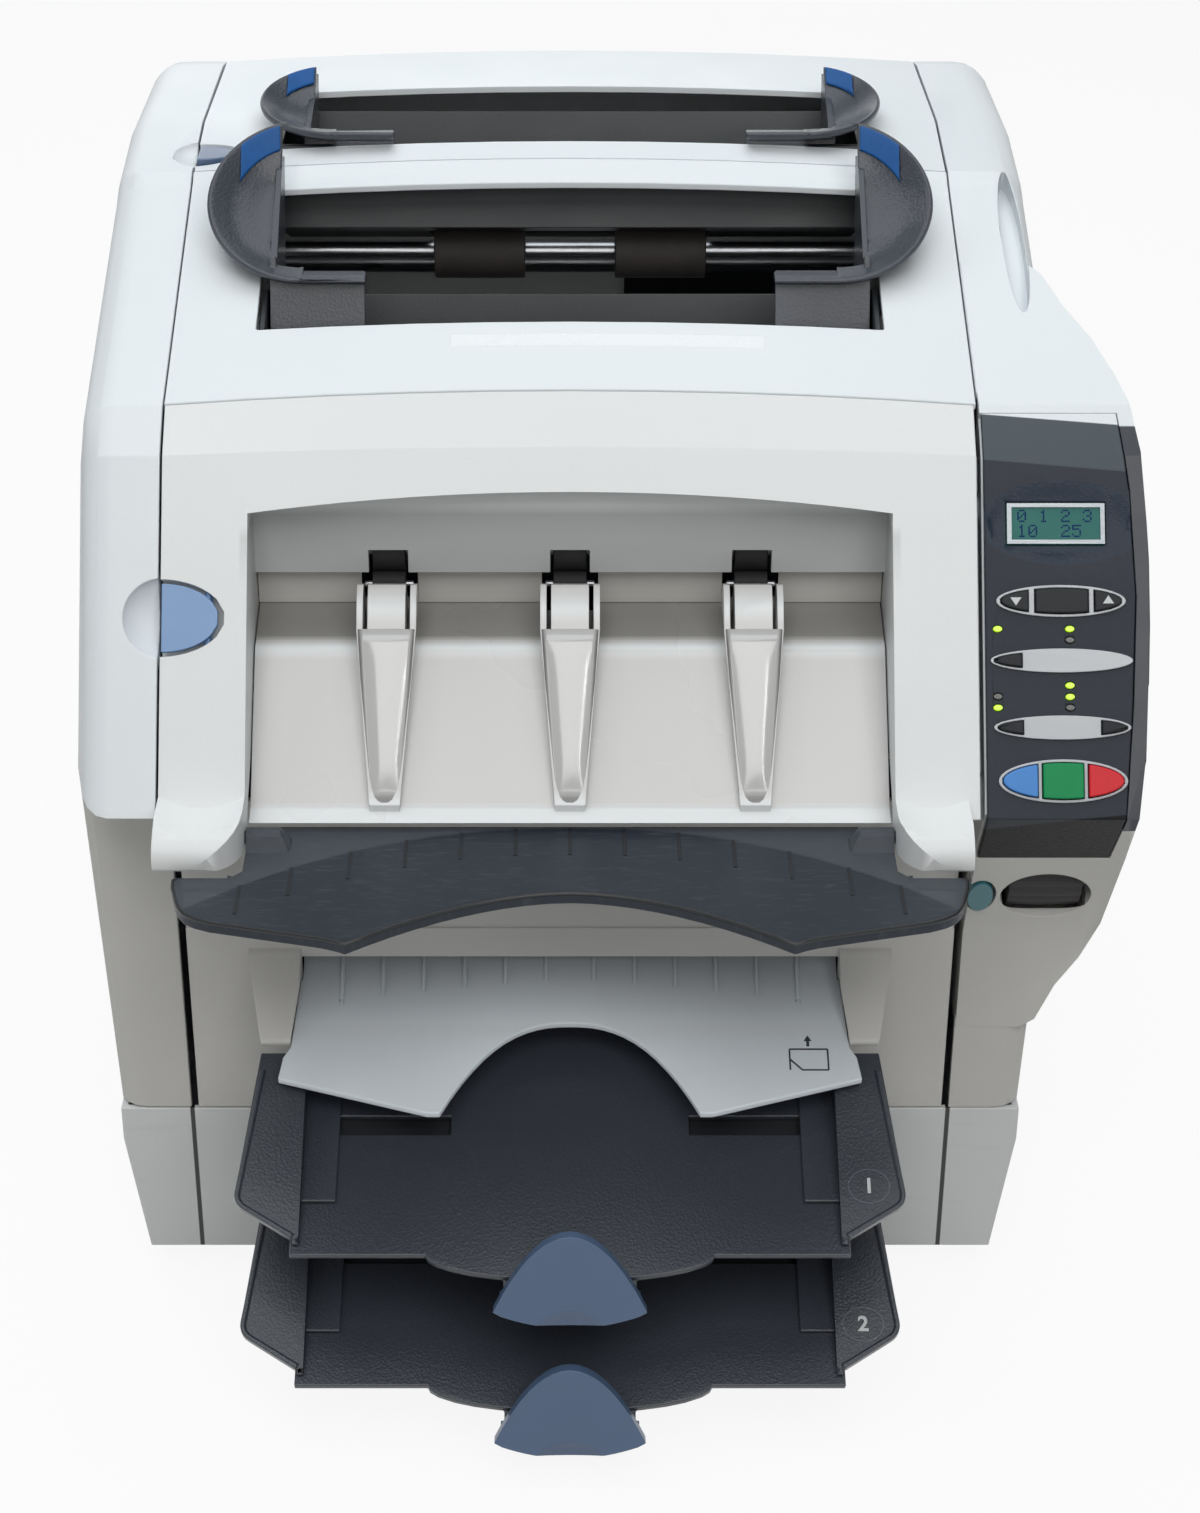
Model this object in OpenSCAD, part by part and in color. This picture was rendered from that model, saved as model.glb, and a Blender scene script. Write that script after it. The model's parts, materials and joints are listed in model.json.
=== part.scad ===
// Folder inserter: a desk machine that folds sheets and puts them into envelopes.
// Sizes in millimetres. Inside the modules x = 0 is the middle of the paper path, y = 0 the lower
// front face and z = 0 the underside of the base. The module row() moves all of it to the part's frame.

/* [Body] */

// Distance from the middle of the paper path to each side seam
seam_x = 162.5; // [156:0.5:172]
// Width of each side cover
side_w = 33; // [28:0.5:40]
// Rounding of the side covers' outer edges
side_round = 14; // [6:1:18]
// Height of the base moulding
base_h = 75; // [70:1:78]
// How much the base narrows towards the table on each side
base_taper = 8; // [0:1:12]
// Height of the rubber feet
foot_h = 12; // [8:1:18]
// Radius of the rubber feet
foot_r = 13; // [8:1:16]
// Depth of the body behind its lower front face
body_d = 385; // [378:1:410]
// Wall of the plastic mouldings
wall = 3; // [2.4:0.1:3.4]
// Gap in the seams between covers that stay put
seam_gap = 0.6; // [0.3:0.1:0.9]
// Gap around covers and guides that move
move_gap = 1; // [0.5:0.1:1.6]
// Rise of the top and of the front crease in the middle
crown = 6; // [0:0.5:9]

/* [Front slope] */

// Overhang of the sloping front over the lower front
lip_out = 38; // [34:1:42]
// Height of the sloping front's lower edge
lip_h = 243; // [240:1:248]
// Depth of the front crease
crease_y = 45; // [42:1:48]
// Height of the front crease
crease_h = 361; // [356:1:364]
// Height of the rear ridge
ridge_h = 430; // [428:1:436]

/* [Control pod] */

// Furthest reach of the control pod from the middle
pod_x = 228.5; // [222:0.5:236]
// Border of the pod around the fascia
pod_border = 5.5; // [4:0.5:8]
// Thickness of the fascia
fascia_t = 3; // [2:0.5:4]
// How far the buttons stand out of their surrounds
button_up = 1.4; // [0.8:0.1:2.4]
// Travel of the buttons
button_travel = 1.2; // [0.6:0.1:2]
// Gap around each button
button_gap = 0.35; // [0.3:0.05:0.6]
// Radius of the hand wheel
wheel_r = 24; // [20:0.5:26]

/* [Hoppers] */

// Width of the envelopes between the envelope guides
envelope_w = 241.3; // [230:0.1:243]
// Width of the inserts between the insert guides
insert_w = 225.4; // [214:0.1:229]
// Room between the envelope guides and the ends of their hopper
envelope_room = 7.35; // [5.5:0.05:9]
// Room between the insert guides and the ends of their hopper
insert_room = 15.3; // [13:0.05:17]
// Lean of the hoppers from upright
hopper_lean = 24; // [22:0.5:26]
// Depth of the hoppers along their lean
hopper_deep = 62; // [56:1:64]
// Depth of the insert hopper along its lean
insert_deep = 36; // [30:1:38]
// Radius of the envelope guides' scoops
scoop_r = 41; // [36:0.5:43]
// Radius of the insert guides' scoops
insert_scoop_r = 34; // [30:0.5:36]

/* [Sheet trays] */

// Width of the sheets between the side guides
sheet_w = 217; // [206:0.5:222]
// Slope of the sheet trays
tray_a = 19; // [17:0.5:20]
// Height of the upper tray's front edge
tray_h = 82; // [80:0.5:84]
// Reach of the upper tray in front of the lower front face
tray_out = 107; // [100:1:114]
// Drop from the upper to the lower tray
tray_drop = 60; // [58:0.5:62]
// Step forward from the upper to the lower tray
tray_step = 9; // [4:1:14]
// Thickness of the tray floors
tray_t = 3; // [2.4:0.1:3.4]
// Width of the lift levers
lever_w = 61; // [50:1:70]

/* [Exit] */

// Half width of the exit recess
recess_x = 127.5; // [124:0.5:130]
// Spacing of the exit fingers
finger_pitch = 73.5; // [64:0.5:80]
// Radius of the exit drive rollers
drive_r = 11; // [9:0.5:12]
// Radius of the exit idlers
idler_r = 5; // [4:0.5:5.5]
// Thickness of the stacker tray
stacker_t = 3; // [2:0.5:3.5]

/* [Drive] */

// Radius of the roller shafts
shaft_r = 4; // [3:0.5:5]
// Play of a shaft in its bore
bore_play = 0.06; // [0.03:0.01:0.1]
// Radius of the fold rollers
fold_r = 16; // [13:0.5:18]
// Radius of the feed rollers
feed_r = 12; // [10:0.5:13]
// Thickness of the frame plates
plate_t = 2.5; // [2:0.1:3]

/* [Hidden] */

$fn = 48;
lip = [-lip_out, lip_h];
crease = [crease_y, crease_h];
seam = crease + [18, 14];
brow = [195, ridge_h - 10];
split = [202, ridge_h - 6.5];
ridge = [250, ridge_h];
hinge_rear = [body_d + 1.5, ridge_h - 45];
side_out = seam_x + side_w;
base_x = side_out - 2.5;
panel_z = base_h + seam_gap;
// Front face: along it, out of it, and its angle
face_l = norm(crease - lip);
face_u = (crease - lip) / face_l;
face_n = [-face_u.y, face_u.x];
face_a = atan2(face_u.y, face_u.x);
// Slanted underside of the pod
chin_a = [-lip_out + 18, lip_h - 29];
chin_b = [0, lip_h - 78];
chin_u = (chin_a - chin_b) / norm(chin_a - chin_b);
chin_n = [-chin_u.y, chin_u.x];
chin_ang = atan2(chin_u.y, chin_u.x);
wheel_c = chin_b + 27 * chin_u - (wheel_r + 0.8) * chin_n;
wheel_x = [179, 209];
door_x = seam_x - move_gap;
door_axis = [door_x - 3.5, -3.5];
cover_edge = seam_x + 0.4;
frame_x = 149;
inner_x = frame_x - plate_t;
lean_u = [sin(hopper_lean), cos(hopper_lean)];
lean_v = [cos(hopper_lean), -sin(hopper_lean)];
// Height of the top cover's sides at a depth
function deck(y) = seam.y + (y - seam.x) * (brow.y - seam.y) / (brow.x - seam.x);
env_x = envelope_w / 2 + envelope_room;
ins_x = insert_w / 2 + insert_room;
env_front = [103, deck(103) - 0.6];
env_back = [188, deck(188) + 0.4];
ins_front = [split.x + 17, ridge_h];
ins_back = [286, ridge_h];
env_scoop = [154, deck(154) + 22];
ins_scoop = [244, ridge_h + 12];
shaft_exit = [51.5 + drive_r, 302 + drive_r];
idler_c = shaft_exit - (drive_r + idler_r + 0.3) * [cos(45), sin(45)];
fold_a = [175, 222];
fold_b = fold_a + [0, 2 * fold_r + 0.4];
stack_pin = [-40, lip_h - 7];
// Front of the lower lift lever
reach = tray_out + tray_step + 23.0805;
// How far the lower sides stand out
flare = 4.4;
mid_x = (pod_x - side_out - flare) / 2;
back_y = hinge_rear.x + 4;
mid_y = (back_y - reach) / 2;

white = [0.85, 0.87, 0.88];
grey = [0.78, 0.79, 0.79];
charcoal = [0.25, 0.27, 0.30];
dark = [0.14, 0.15, 0.17];
blue = [0.05, 0.33, 0.58];
steel = [0.7, 0.71, 0.73];
slate = [0.42, 0.50, 0.63];

function arc(c, r, a0, a1, n) =
  [for (i = [0:n]) let (a = a0 + (a1 - a0) * i / n) c + r * [cos(a), sin(a)]];
function oval(a, b, n = 40) =
  [for (i = [0:n - 1]) [a * cos(360 * i / n), b * sin(360 * i / n)]];
function turned(p) = [for (i = [len(p) - 1:-1:0]) p[i]];
function mirrored(p) = [for (i = [len(p) - 1:-1:0]) [-p[i].x, p[i].y]];
// Part of an oval between two x values
function lens(a, b, x0, x1, n = 10) =
  concat([for (i = [0:n]) let (x = x0 + (x1 - x0) * i / n)
            [x, b * sqrt(max(0.02, 1 - pow(x / a, 2)))]],
         [for (i = [n:-1:0]) let (x = x0 + (x1 - x0) * i / n)
            [x, -b * sqrt(max(0.02, 1 - pow(x / a, 2)))]]);
function unit(v) = v / norm(v);
// Outline drawn inwards by d; its points run clockwise
function inset(p, d) = let (n = len(p)) [for (i = [0:n - 1])
  let (e0 = unit(p[i] - p[(i + n - 1) % n]), e1 = unit(p[(i + 1) % n] - p[i]),
       m0 = [e0.y, -e0.x], m1 = [e1.y, -e1.x])
  p[i] + d * (m0 + m1) / (1 + m0 * m1)];
function rise(x) = crown * (1 - pow(x / seam_x, 2));

module row() translate([-mid_x, -mid_y, foot_h]) children();
// Outlines in y and z drawn along x
module yz(x0, x1) translate([x0, 0, 0]) rotate([90, 0, 90]) linear_extrude(x1 - x0) children();
// Outlines in x and z drawn along y
module xz(y0, y1) translate([0, y1, 0]) rotate([90, 0, 0]) linear_extrude(y1 - y0) children();
module box(x0, x1, y0, y1, z0, z1) translate([x0, y0, z0]) cube([x1 - x0, y1 - y0, z1 - z0]);
module rod(x0, x1, c, r) translate([x0, c.x, c.y]) rotate([0, 90, 0]) cylinder(r = r, h = x1 - x0);
// x along the machine, y up the sloping front, z out of it
module on_face(x, t, f = 0)
  translate([x, lip.x + t * face_u.x + f * face_n.x, lip.y + t * face_u.y + f * face_n.y])
    rotate([face_a, 0, 0]) children();
// The same on the pod's slanted chin
module on_chin(x, t, f = 0)
  translate([x, chin_b.x + t * chin_u.x + f * chin_n.x, chin_b.y + t * chin_u.y + f * chin_n.y])
    rotate([chin_ang, 0, 0]) children();
// y along a sheet tray, z off its floor; k = 0 upper, 1 lower
module on_tray(k)
  translate([0, -tray_out - k * tray_step, tray_h - k * tray_drop]) rotate([tray_a, 0, 0]) children();
// Triangles of an outline of n points: round the point hub, or between its two halves
function end_faces(n, hub) = hub < 0
  ? [for (i = [0:n / 2 - 2]) each [[i, i + 1, n - 1 - i], [i + 1, n - 2 - i, n - 1 - i]]]
  : [for (k = [1:n - 2]) [hub, (hub + k) % n, (hub + k + 1) % n]];
// Solid through a list of outlines with equal counts of points
module skin(rings, hub) {
  n = len(rings[0]);
  m = len(rings);
  polyhedron(
    points = [for (r = rings) for (p = r) p],
    faces = concat(
      [for (t = end_faces(n, hub)) turned(t)],
      [for (t = end_faces(n, hub)) [for (i = t) (m - 1) * n + i]],
      [for (k = [0:m - 2]) for (i = [0:n - 1]) let (j = (i + 1) % n)
        each [[k * n + j, (k + 1) * n + i, k * n + i], [(k + 1) * n + j, (k + 1) * n + i, k * n + j]]]));
}
// Curved sheet across the machine: outline o(x) gives the points at each x
module across(xs, o) skin([for (x = xs) [for (p = o(x)) [x, p.x, p.y]]], -1);
stations = [for (i = [0:10]) -1 + i / 5];

// Base

function base_line(d) = [
  [-base_x + base_taper + d, d], [base_x - base_taper - d, d], [base_x - d, base_h * 0.78],
  [base_x - d, base_h + d], [-base_x + d, base_h + d], [-base_x + d, base_h * 0.78]];

module base_pan() color(grey) row() {
  difference() {
    xz(0, body_d) polygon(base_line(0));
    xz(wall, body_d - wall) polygon(base_line(wall));
    box(-base_x, base_x, -1, body_d + 1, base_h, base_h + 9);
    box(-118, 118, -1, wall + 1, tray_h - tray_drop + 15, base_h + 9);
  }
}

module rubber_feet() color(dark) row()
  for (x = [-150, 150], y = [30, body_d - 40]) translate([x, y, -foot_h])
    rotate_extrude() polygon([[0, 0], [foot_r - 2, 0], [foot_r, 2], [foot_r, foot_h], [0, foot_h]]);

// Side covers

side_line = concat(
  [[0, base_h - 30], [0, lip_h - 13], lip, crease, seam, brow, split, ridge],
  arc([body_d - 45, ridge_h - 48], 45, 90, 0, 4), [[body_d, base_h - 30]]);

// How much the lower side stands out and the lip draws in, point by point
side_flare = concat([-2.7, flare, -2.4], [for (i = [3:len(side_line) - 1]) i == len(side_line) - 1 ? -2.7 : 0]);

module side_form(d) {
  r = side_round - d;
  rings = concat(
    [[seam_x - (d > 0 ? 1 : 0), d], [side_out - side_round, d]],
    [for (a = [22.5, 45, 67.5, 90]) [side_out - side_round + r * sin(a), d + 0.8 * r * (1 - cos(a))]]);
  skin([for (q = rings) let (o = inset(side_line, q[1]), k = max(0, q[0] - side_out + side_round) / side_round)
    [for (i = [0:len(o) - 1]) [q[0] + k * side_flare[i], o[i].x, o[i].y]]], 1);
}

module side_shell() difference() {
  side_form(0);
  side_form(wall);
  box(seam_x - 5, side_out + 5, -lip_out - 5, body_d + 5, base_h - 40, panel_z);
}

// Shallow round hollow for a finger
module dish(r, deep) rotate_extrude()
  polygon(concat([[0, deep]], [for (a = [0:15:90]) [r * cos(a), -deep * sin(a)]]));

latch_t = 79.5;
top_latch = [217, ridge_h - 4.5];

module left_side_cover() color(white) row() mirror([1, 0, 0]) difference() {
  union() {
    side_shell();
    intersection() {
      side_form(0);
      union() {
        on_face(seam_x, latch_t, -11) translate([0, -19, 0]) cube([20, 38, 12]);
        box(seam_x, seam_x + 16, top_latch.x - 14, top_latch.x + 14, top_latch.y - 10, ridge_h + 9);
      }
    }
  }
  on_face(seam_x - 2, latch_t, 0.5) dish(16, 8);
  translate([seam_x - 2, top_latch.x, top_latch.y + 1.5]) dish(12, 6);
}

pod_line = [[0, 110], chin_b, chin_a, lip, crease, seam, [150, 402], [150, 110]];
// Levels of the pod: reach, lower end of its front, depth of its upper end
pod_levels = [[-38.5, 118, 146], [-32.5, 122, 138], [-25.5, 139, 119], [-16.5, 153, 101], [-9.5, 171, 80],
  [-5.5, 215, 64], [-2.5, 262, 46], [-0.8, 287, 30], [0, 306, 20]];
function pod_edge(d) = [for (p = pod_front) [p[1] + pod_x - 228.5 - d, p[0]]];
pod_front = [
  [122, 196], [135, 201], [145, 208], [160, 214.5], [175, 218.5], [200, 221], [243, 223.5],
  [280, 226.7], [315, 228.5], [350, 226.5], [375, 222.5], [410, 221]];
// Depth of the front at a height, height of the top at a depth
function front_y(z) = z < chin_b.y ? 0 : z < chin_a.y ? lookup(z, [[chin_b.y, chin_b.x], [chin_a.y, chin_a.x]])
  : z < lip.y ? lookup(z, [[chin_a.y, chin_a.x], [lip.y, lip.x]])
  : lookup(z, [[lip.y, lip.x], [crease.y, crease.x], [seam.y, seam.x]]);
function top_z(y) = lookup(y, [[lip.x, lip.y], [crease.x, crease.y], [seam.x, seam.y], [195, brow.y]]);
function pod_ring(q) = let (z0 = q[1], y1 = q[2], z1 = top_z(y1),
    zc = min(z1, seam.y), keys = [z0, chin_b.y, chin_a.y, lip.y, 280, 320, crease.y, zc])
  concat(
    [for (i = [0:7]) let (z = min(zc - (7 - i) * 0.5, max(z0 + i * 0.5, keys[i]))) [front_y(z), z]],
    [for (i = [1:4]) let (a = y1 > seam.x ? seam.x : front_y(zc), y = a + (y1 - a + 0.02) * i / 4)
      [y, (y1 > seam.x ? top_z(y) : zc - 2.5 * i / 4)]],
    [for (i = [1:7]) let (t = i / 8, a = [y1, z1 - 2.5], b = [front_y(z0), z0],
        c = [y1 + 0.06 * (z1 - z0), z0 - 0.03 * (z1 - z0)])
      (1 - t) * (1 - t) * a + 2 * t * (1 - t) * c + t * t * b]);
module pod_form() skin([for (q = concat([[cover_edge - pod_x, pod_levels[0][1], pod_levels[0][2]]], pod_levels))
  [for (p = inset(pod_ring(q), -0.25)) [pod_x + q[0], p.x, p.y]]], 11);

// Hidden hinge: eye on the axis, arm inwards from it, foot on the cover
module hinge_ear(t) on_face(door_axis.x, t, door_axis.y) translate([0, 4, 0]) rotate([90, 0, 0]) linear_extrude(8) {
  circle(r = 2);
  translate([-1.6, -12]) square([3.2, 12]);
  translate([-1.6, -12]) square([cover_edge - door_axis.x + 3.6, 3.2]);
}

module right_side_cover() color(white) row() difference() {
  union() {
    difference() {
      side_shell();
      box(seam_x - 2, cover_edge, -70, 70, 122, crease_h + 20);
    }
    pod_form();
    for (t = [14, 126]) hinge_ear(t);
    intersection() {
      side_form(0);
      box(side_out - 24, side_out, 102, 214, 380, ridge_h);
    }
  }
  pocket(0.3);
  // Space behind the fascia
  on_face(0, 0, -14) linear_extrude(14) polygon([
    [165.5, 6], [pod_x - 10.4, 6], [pod_x - 9, 16], [pod_x - 7.8, 42], [pod_x - 7.6, 60], [pod_x - 9, 138],
    [165.5, 138]]);
  // Space and window of the hand wheel
  rod(wheel_x[0] - 2, wheel_x[1] + 2, wheel_c, wheel_r + 1.5);
  on_chin(194, 27, -9) linear_extrude(12) polygon(oval(18.5, 15));
  rod(cover_edge - 3, wheel_x[0], wheel_c, shaft_r + 1);
  // Slot and pin bore of the release paddle
  on_chin(cover_edge + 4.4, 27, -8) linear_extrude(12) polygon(oval(6.4, 10.4));
  on_chin(cover_edge + 8, 27 - 13.4, -3.6) rotate([-90, 0, 0]) cylinder(r = 1.4 + bore_play, h = 26.8);
  for (t = [14, 126]) on_face(door_axis.x, t, door_axis.y) rotate([90, 0, 0]) translate([0, 0, -6])
    cylinder(r = 1 + bore_play, h = 12);
  grip();
}

// Lift grip: a long dished slot along the upper right edge
module grip() translate([side_out - 9, 158, ridge_h - 17]) rotate([17.5, 0, 0]) {
  translate([0, 0, -14]) linear_extrude(40) polygon(oval(5, 46));
  translate([8, 0, 2]) linear_extrude(30) polygon(oval(13, 50));
}

// Where the fascia lies on the pod
fascia_line = [chin_a + 1 * chin_u, lip, crease, seam - [3, 2.3]];
module fascia_form(f, d) intersection() {
  yz(cover_edge - (d > 0 ? 1 : 0) + 0.8, pod_x + 5) polygon(concat(
    [for (p = [[inset(pod_line, -f)[2]], [inset(pod_line, -f)[3]], [inset(pod_line, -f)[4]]]) p[0]],
    [inset(pod_line, -f)[5] - [3, 2.3]],
    [inset(pod_line, fascia_t + d)[5] - [3, 2.3]],
    [for (i = [4:-1:2]) inset(pod_line, fascia_t + d)[i]]));
  xz(-80, 160) polygon(concat([[cover_edge - 2, 100]],
    [for (p = pod_edge(pod_border - d)) p], [[cover_edge - 2, 410]]));
}
module pocket(d) fascia_form(3, d);

// Control panel

panel_x = 193.4;
// Each row: height up the face, half width, half height, then the buttons' x ranges
rows = [
  [86.2, 25.6, 6.4, [[-23.6, -13.1], [-10.2, 10.6], [13.2, 23.6]]],
  [62.6, 28.1, 4.8, [[-26.4, -15.8]]],
  [36.1, 27, 4.8, [[-25.2, -15.6], [15.4, 25.2]]],
  [15, 25.4, 8.6, [[-23.6, -10.2], [-8.1, 7.8], [9.9, 23.6]]]];
lamps = [[-25, 75.2], [3.4, 75.2], [3.4, 70.8], [3.2, 52.8], [3.2, 48.3], [3.2, 44], [-25.2, 48.4], [-25.2, 44]];
// Display's place on the face and its size
display = [192, 117.3];
display_size = [39, 16.6];

function cap_line(i, k, g) = let (q = rows[i])
  lens(q[1] - 1.7 + g, q[2] - 1.5 + g, q[3][k].x - g, q[3][k].y + g);

module button(i, k) color(i == 3 ? [[0.3, 0.55, 0.85], [0, 0.6, 0.35], [0.85, 0.2, 0.22]][k] : dark) row()
  on_face(panel_x, rows[i][0], -fascia_t - 2.5) linear_extrude(fascia_t + 2.5 + 1 + button_up)
    polygon(cap_line(i, k, 0));

module cap_holes(f0, f1) for (i = [0:3], k = [0:len(rows[i][3]) - 1])
  on_face(panel_x, rows[i][0], f0) linear_extrude(f1 - f0) polygon(cap_line(i, k, button_gap));

module control_fascia() color(charcoal) row() difference() {
  fascia_form(0, 0);
  cap_holes(-fascia_t - 4, 4);
  on_face(display.x, display.y, -fascia_t - 4) linear_extrude(9) square(display_size + [0.6, 0.6], center = true);
  // Dish around the display
  on_face(display.x + 1, display.y) hull() {
    translate([0, 0, -1]) linear_extrude(0.01) polygon(oval(27, 12.2, 28));
    translate([0, 0, 0.2]) linear_extrude(0.01) polygon(oval(29.4, 16.8, 28));
  }
  for (p = lamps) on_face(panel_x + p.x, p.y, -fascia_t - 4) linear_extrude(9) polygon(oval(1.9, 1.3, 16));
}

module button_surrounds() color(steel) row() difference() {
  for (q = rows) on_face(panel_x, q[0]) linear_extrude(1) polygon(oval(q[1], q[2]));
  cap_holes(-1, 4);
}

module display_panel() color([0.35, 0.55, 0.5]) row() {
  on_face(display.x, display.y, -fascia_t - 3) linear_extrude(3) square(display_size + [6, 6], center = true);
  on_face(display.x, display.y, -fascia_t - 0.2) linear_extrude(1.9) square(display_size, center = true);
}

module indicator_lamps() color([0.75, 1, 0.2]) row()
  for (p = lamps) on_face(panel_x + p.x, p.y, -fascia_t - 1) linear_extrude(fascia_t + 1.4)
    polygon(oval(1.8, 1.2, 16));

module down_button() button(0, 0);
module menu_button() button(0, 1);
module up_button() button(0, 2);
module tray_button() button(1, 0);
module fold_button() button(2, 0);
module seal_button() button(2, 1);
module clear_button() button(3, 0);
module start_button() button(3, 1);
module stop_button() button(3, 2);

module hand_wheel() color(dark) row() {
  translate([wheel_x[0], wheel_c.x, wheel_c.y]) rotate([90, 0, 90]) linear_extrude(wheel_x[1] - wheel_x[0])
    polygon([for (i = [0:71]) (wheel_r - (i % 3 == 0 ? 1 : 0)) * [cos(5 * i), sin(5 * i)]]);
  rod(inner_x - 6, wheel_x[0] + 2, wheel_c, shaft_r);
}

module side_release() color([0.24, 0.47, 0.51]) row() on_chin(cover_edge + 4.4, 27, -3) {
  linear_extrude(4.2) polygon(oval(5.1, 9.5, 32));
  translate([3.6, -13, -0.6]) rotate([-90, 0, 0]) cylinder(r = 1.4, h = 26);
}

// Lower front

cheek_x = [112, 134];

module lower_front_cover() color(grey) row() difference() {
  union() {
    box(-seam_x + 3, seam_x - 3, 0, wall, panel_z, lip_h - 14);
    for (s = [-1, 1]) {
      // Cheeks beside the manual feed
      intersection() {
        yz(s > 0 ? cheek_x[0] : -cheek_x[1], s > 0 ? cheek_x[1] : -cheek_x[0])
          polygon([[1, 158], [-3, 156.6], [-30, 133], [-31, 131], [-30.4, 129.2], [-28, 128.6], [1, 134]]);
        xz(-40, 2) polygon([[s * cheek_x[0], 160], [s * cheek_x[0], 147], [s * (cheek_x[0] + 4.6), 124],
          [s * (cheek_x[1] - 8.4), 124], [s * cheek_x[1], 156], [s * cheek_x[1], 160]]);
      }
      // Returns that reach the frame
      box(s > 0 ? inner_x - 2 : -seam_x + 3, s > 0 ? seam_x - 3 : -inner_x + 2, 0, 7.6, panel_z + 8, lip_h - 20);
    }
  }
  box(-cheek_x[0], cheek_x[0], -1, wall + 9, panel_z - 9, 153);
  box(-118, 118, -1, wall + 9, panel_z - 9, 128.5);
  // Seam line
  box(-seam_x, seam_x, -1, 0.9, 167.4, 168.8);
}

// Edge of the manual tray, which follows the cheek beside it
manual_half = [[-111.7, 20], [-111.7, -1.4], [-112.5, -1.5], [-113.4, -10], [-114.5, -23], [-115.2, -31.5],
  [-118, -36], [-119.5, -46], [-56, -62.5], [-53, -62.5]];
manual_line = [[14, 153.5], [3, 145], [-10, 138.4], [-23, 132.8], [-40, 126.2], [-62, 118.6]];

module manual_feed_tray() color(grey) row() difference() {
  union() {
    intersection() {
      yz(-121, 121) polygon(concat(manual_line, turned([for (p = manual_line) p - [0, 2.6]])));
      translate([0, 0, 90]) linear_extrude(90) polygon(concat(
        manual_half,
        [for (i = [-12:12]) let (q = i / 12) [53 * q, -62.5 + 42 * (1 - pow(abs(q), 2.5))]],
        mirrored(manual_half)));
    }
    // Ribs at the mouth of the manual feed
    for (i = [0:5], s = [-1, 1]) yz(s * (10 + 17 * i) - 0.8, s * (10 + 17 * i) + 0.8)
      polygon([[12, 150], [12, 154.2], [-2 - 1.6 * i, 143.8 - 0.9 * i], [-3 - 1.6 * i, 140.5 - 0.9 * i]]);
  }
}

// Sheet trays

tray_l = 262;
lever_pin = [-14, -8.6];
guide_x = sheet_w / 2;

module sheet_tray(k) color(charcoal) row() {
  on_tray(k) {
    difference() {
      union() {
        translate([-112, 0, -tray_t]) cube([224, tray_l, tray_t]);
        translate([-inner_x + 0.3, 130, -tray_t]) cube([2 * inner_x - 0.6, tray_l - 130, tray_t]);
        // Tongue in the middle of the front edge
        translate([0, 0.5, -tray_t]) linear_extrude(tray_t) polygon(
          [for (a = [180:12:360]) [58 * cos(a), 12 * sin(a)]]);
      }
      // Rails of the side guides
      for (s = [-1, 1], y = [62, 150]) translate([s * 78 - 29, y - 4.5, -tray_t - 1]) cube([58, 9, tray_t + 2]);
    }
    for (s = [-1, 1]) difference() {
      union() {
        translate([s * 24 - 2.5, lever_pin.x, lever_pin.y]) rotate([0, 90, 0]) cylinder(r = 4.6, h = 5);
        translate([s * 24 - 2.5, lever_pin.x, lever_pin.y - 4.6]) cube([5, 20, 5.1 - lever_pin.y - tray_t]);
      }
      translate([s * 24 - 4, lever_pin.x, lever_pin.y]) rotate([0, 90, 0]) cylinder(r = 2.4 + bore_play, h = 8);
    }
  }
}
module upper_sheet_tray() sheet_tray(0);
module lower_sheet_tray() sheet_tray(1);

// Side guide: foot on the tray floor, wall along the sheets, wing flared out of the wall's upper edge
module sheet_guide(k, s) color(charcoal) row() on_tray(k) mirror([s > 0 ? 0 : 1, 0, 0]) {
  translate([guide_x - 14, 24, 0.3]) cube([16.5, 166, 1.8]);
  for (y = [62, 150]) translate([guide_x - 10, y - 4, -tray_t]) cube([8, 8, tray_t + 1]);
  difference() {
    yz(guide_x, guide_x + 2.5) polygon([[4, 0.3], [4, 2.2], [88, 16.6], [190, 16.6], [190, 0.3]]);
    translate([0, -1, -1]) cube([guide_x + 9, 1, 1]);
  }
  translate([0, 4, 0]) rotate([9.8, 0, 0]) {
    linear_extrude(2.4) polygon(concat(
      [[guide_x, 84], [guide_x, 3], [guide_x + 3, 2]],
      arc([guide_x + 19, 21], 7.5, -62, 8, 5), [[guide_x + 19, 84]]));
    // Bead along the wing's edge
    translate([0, 0, 1.2]) linear_extrude(2.6) polygon(concat(
      [[guide_x + 3, 2]], arc([guide_x + 19, 21], 7.5, -62, 8, 5), [[guide_x + 19, 76], [guide_x + 17, 76]],
      arc([guide_x + 19, 21], 5.5, 8, -62, 5), [[guide_x + 2, 4]]));
  }
}
module upper_guide_left() sheet_guide(0, -1);
module upper_guide_right() sheet_guide(0, 1);
module lower_guide_left() sheet_guide(1, -1);
module lower_guide_right() sheet_guide(1, 1);

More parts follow.
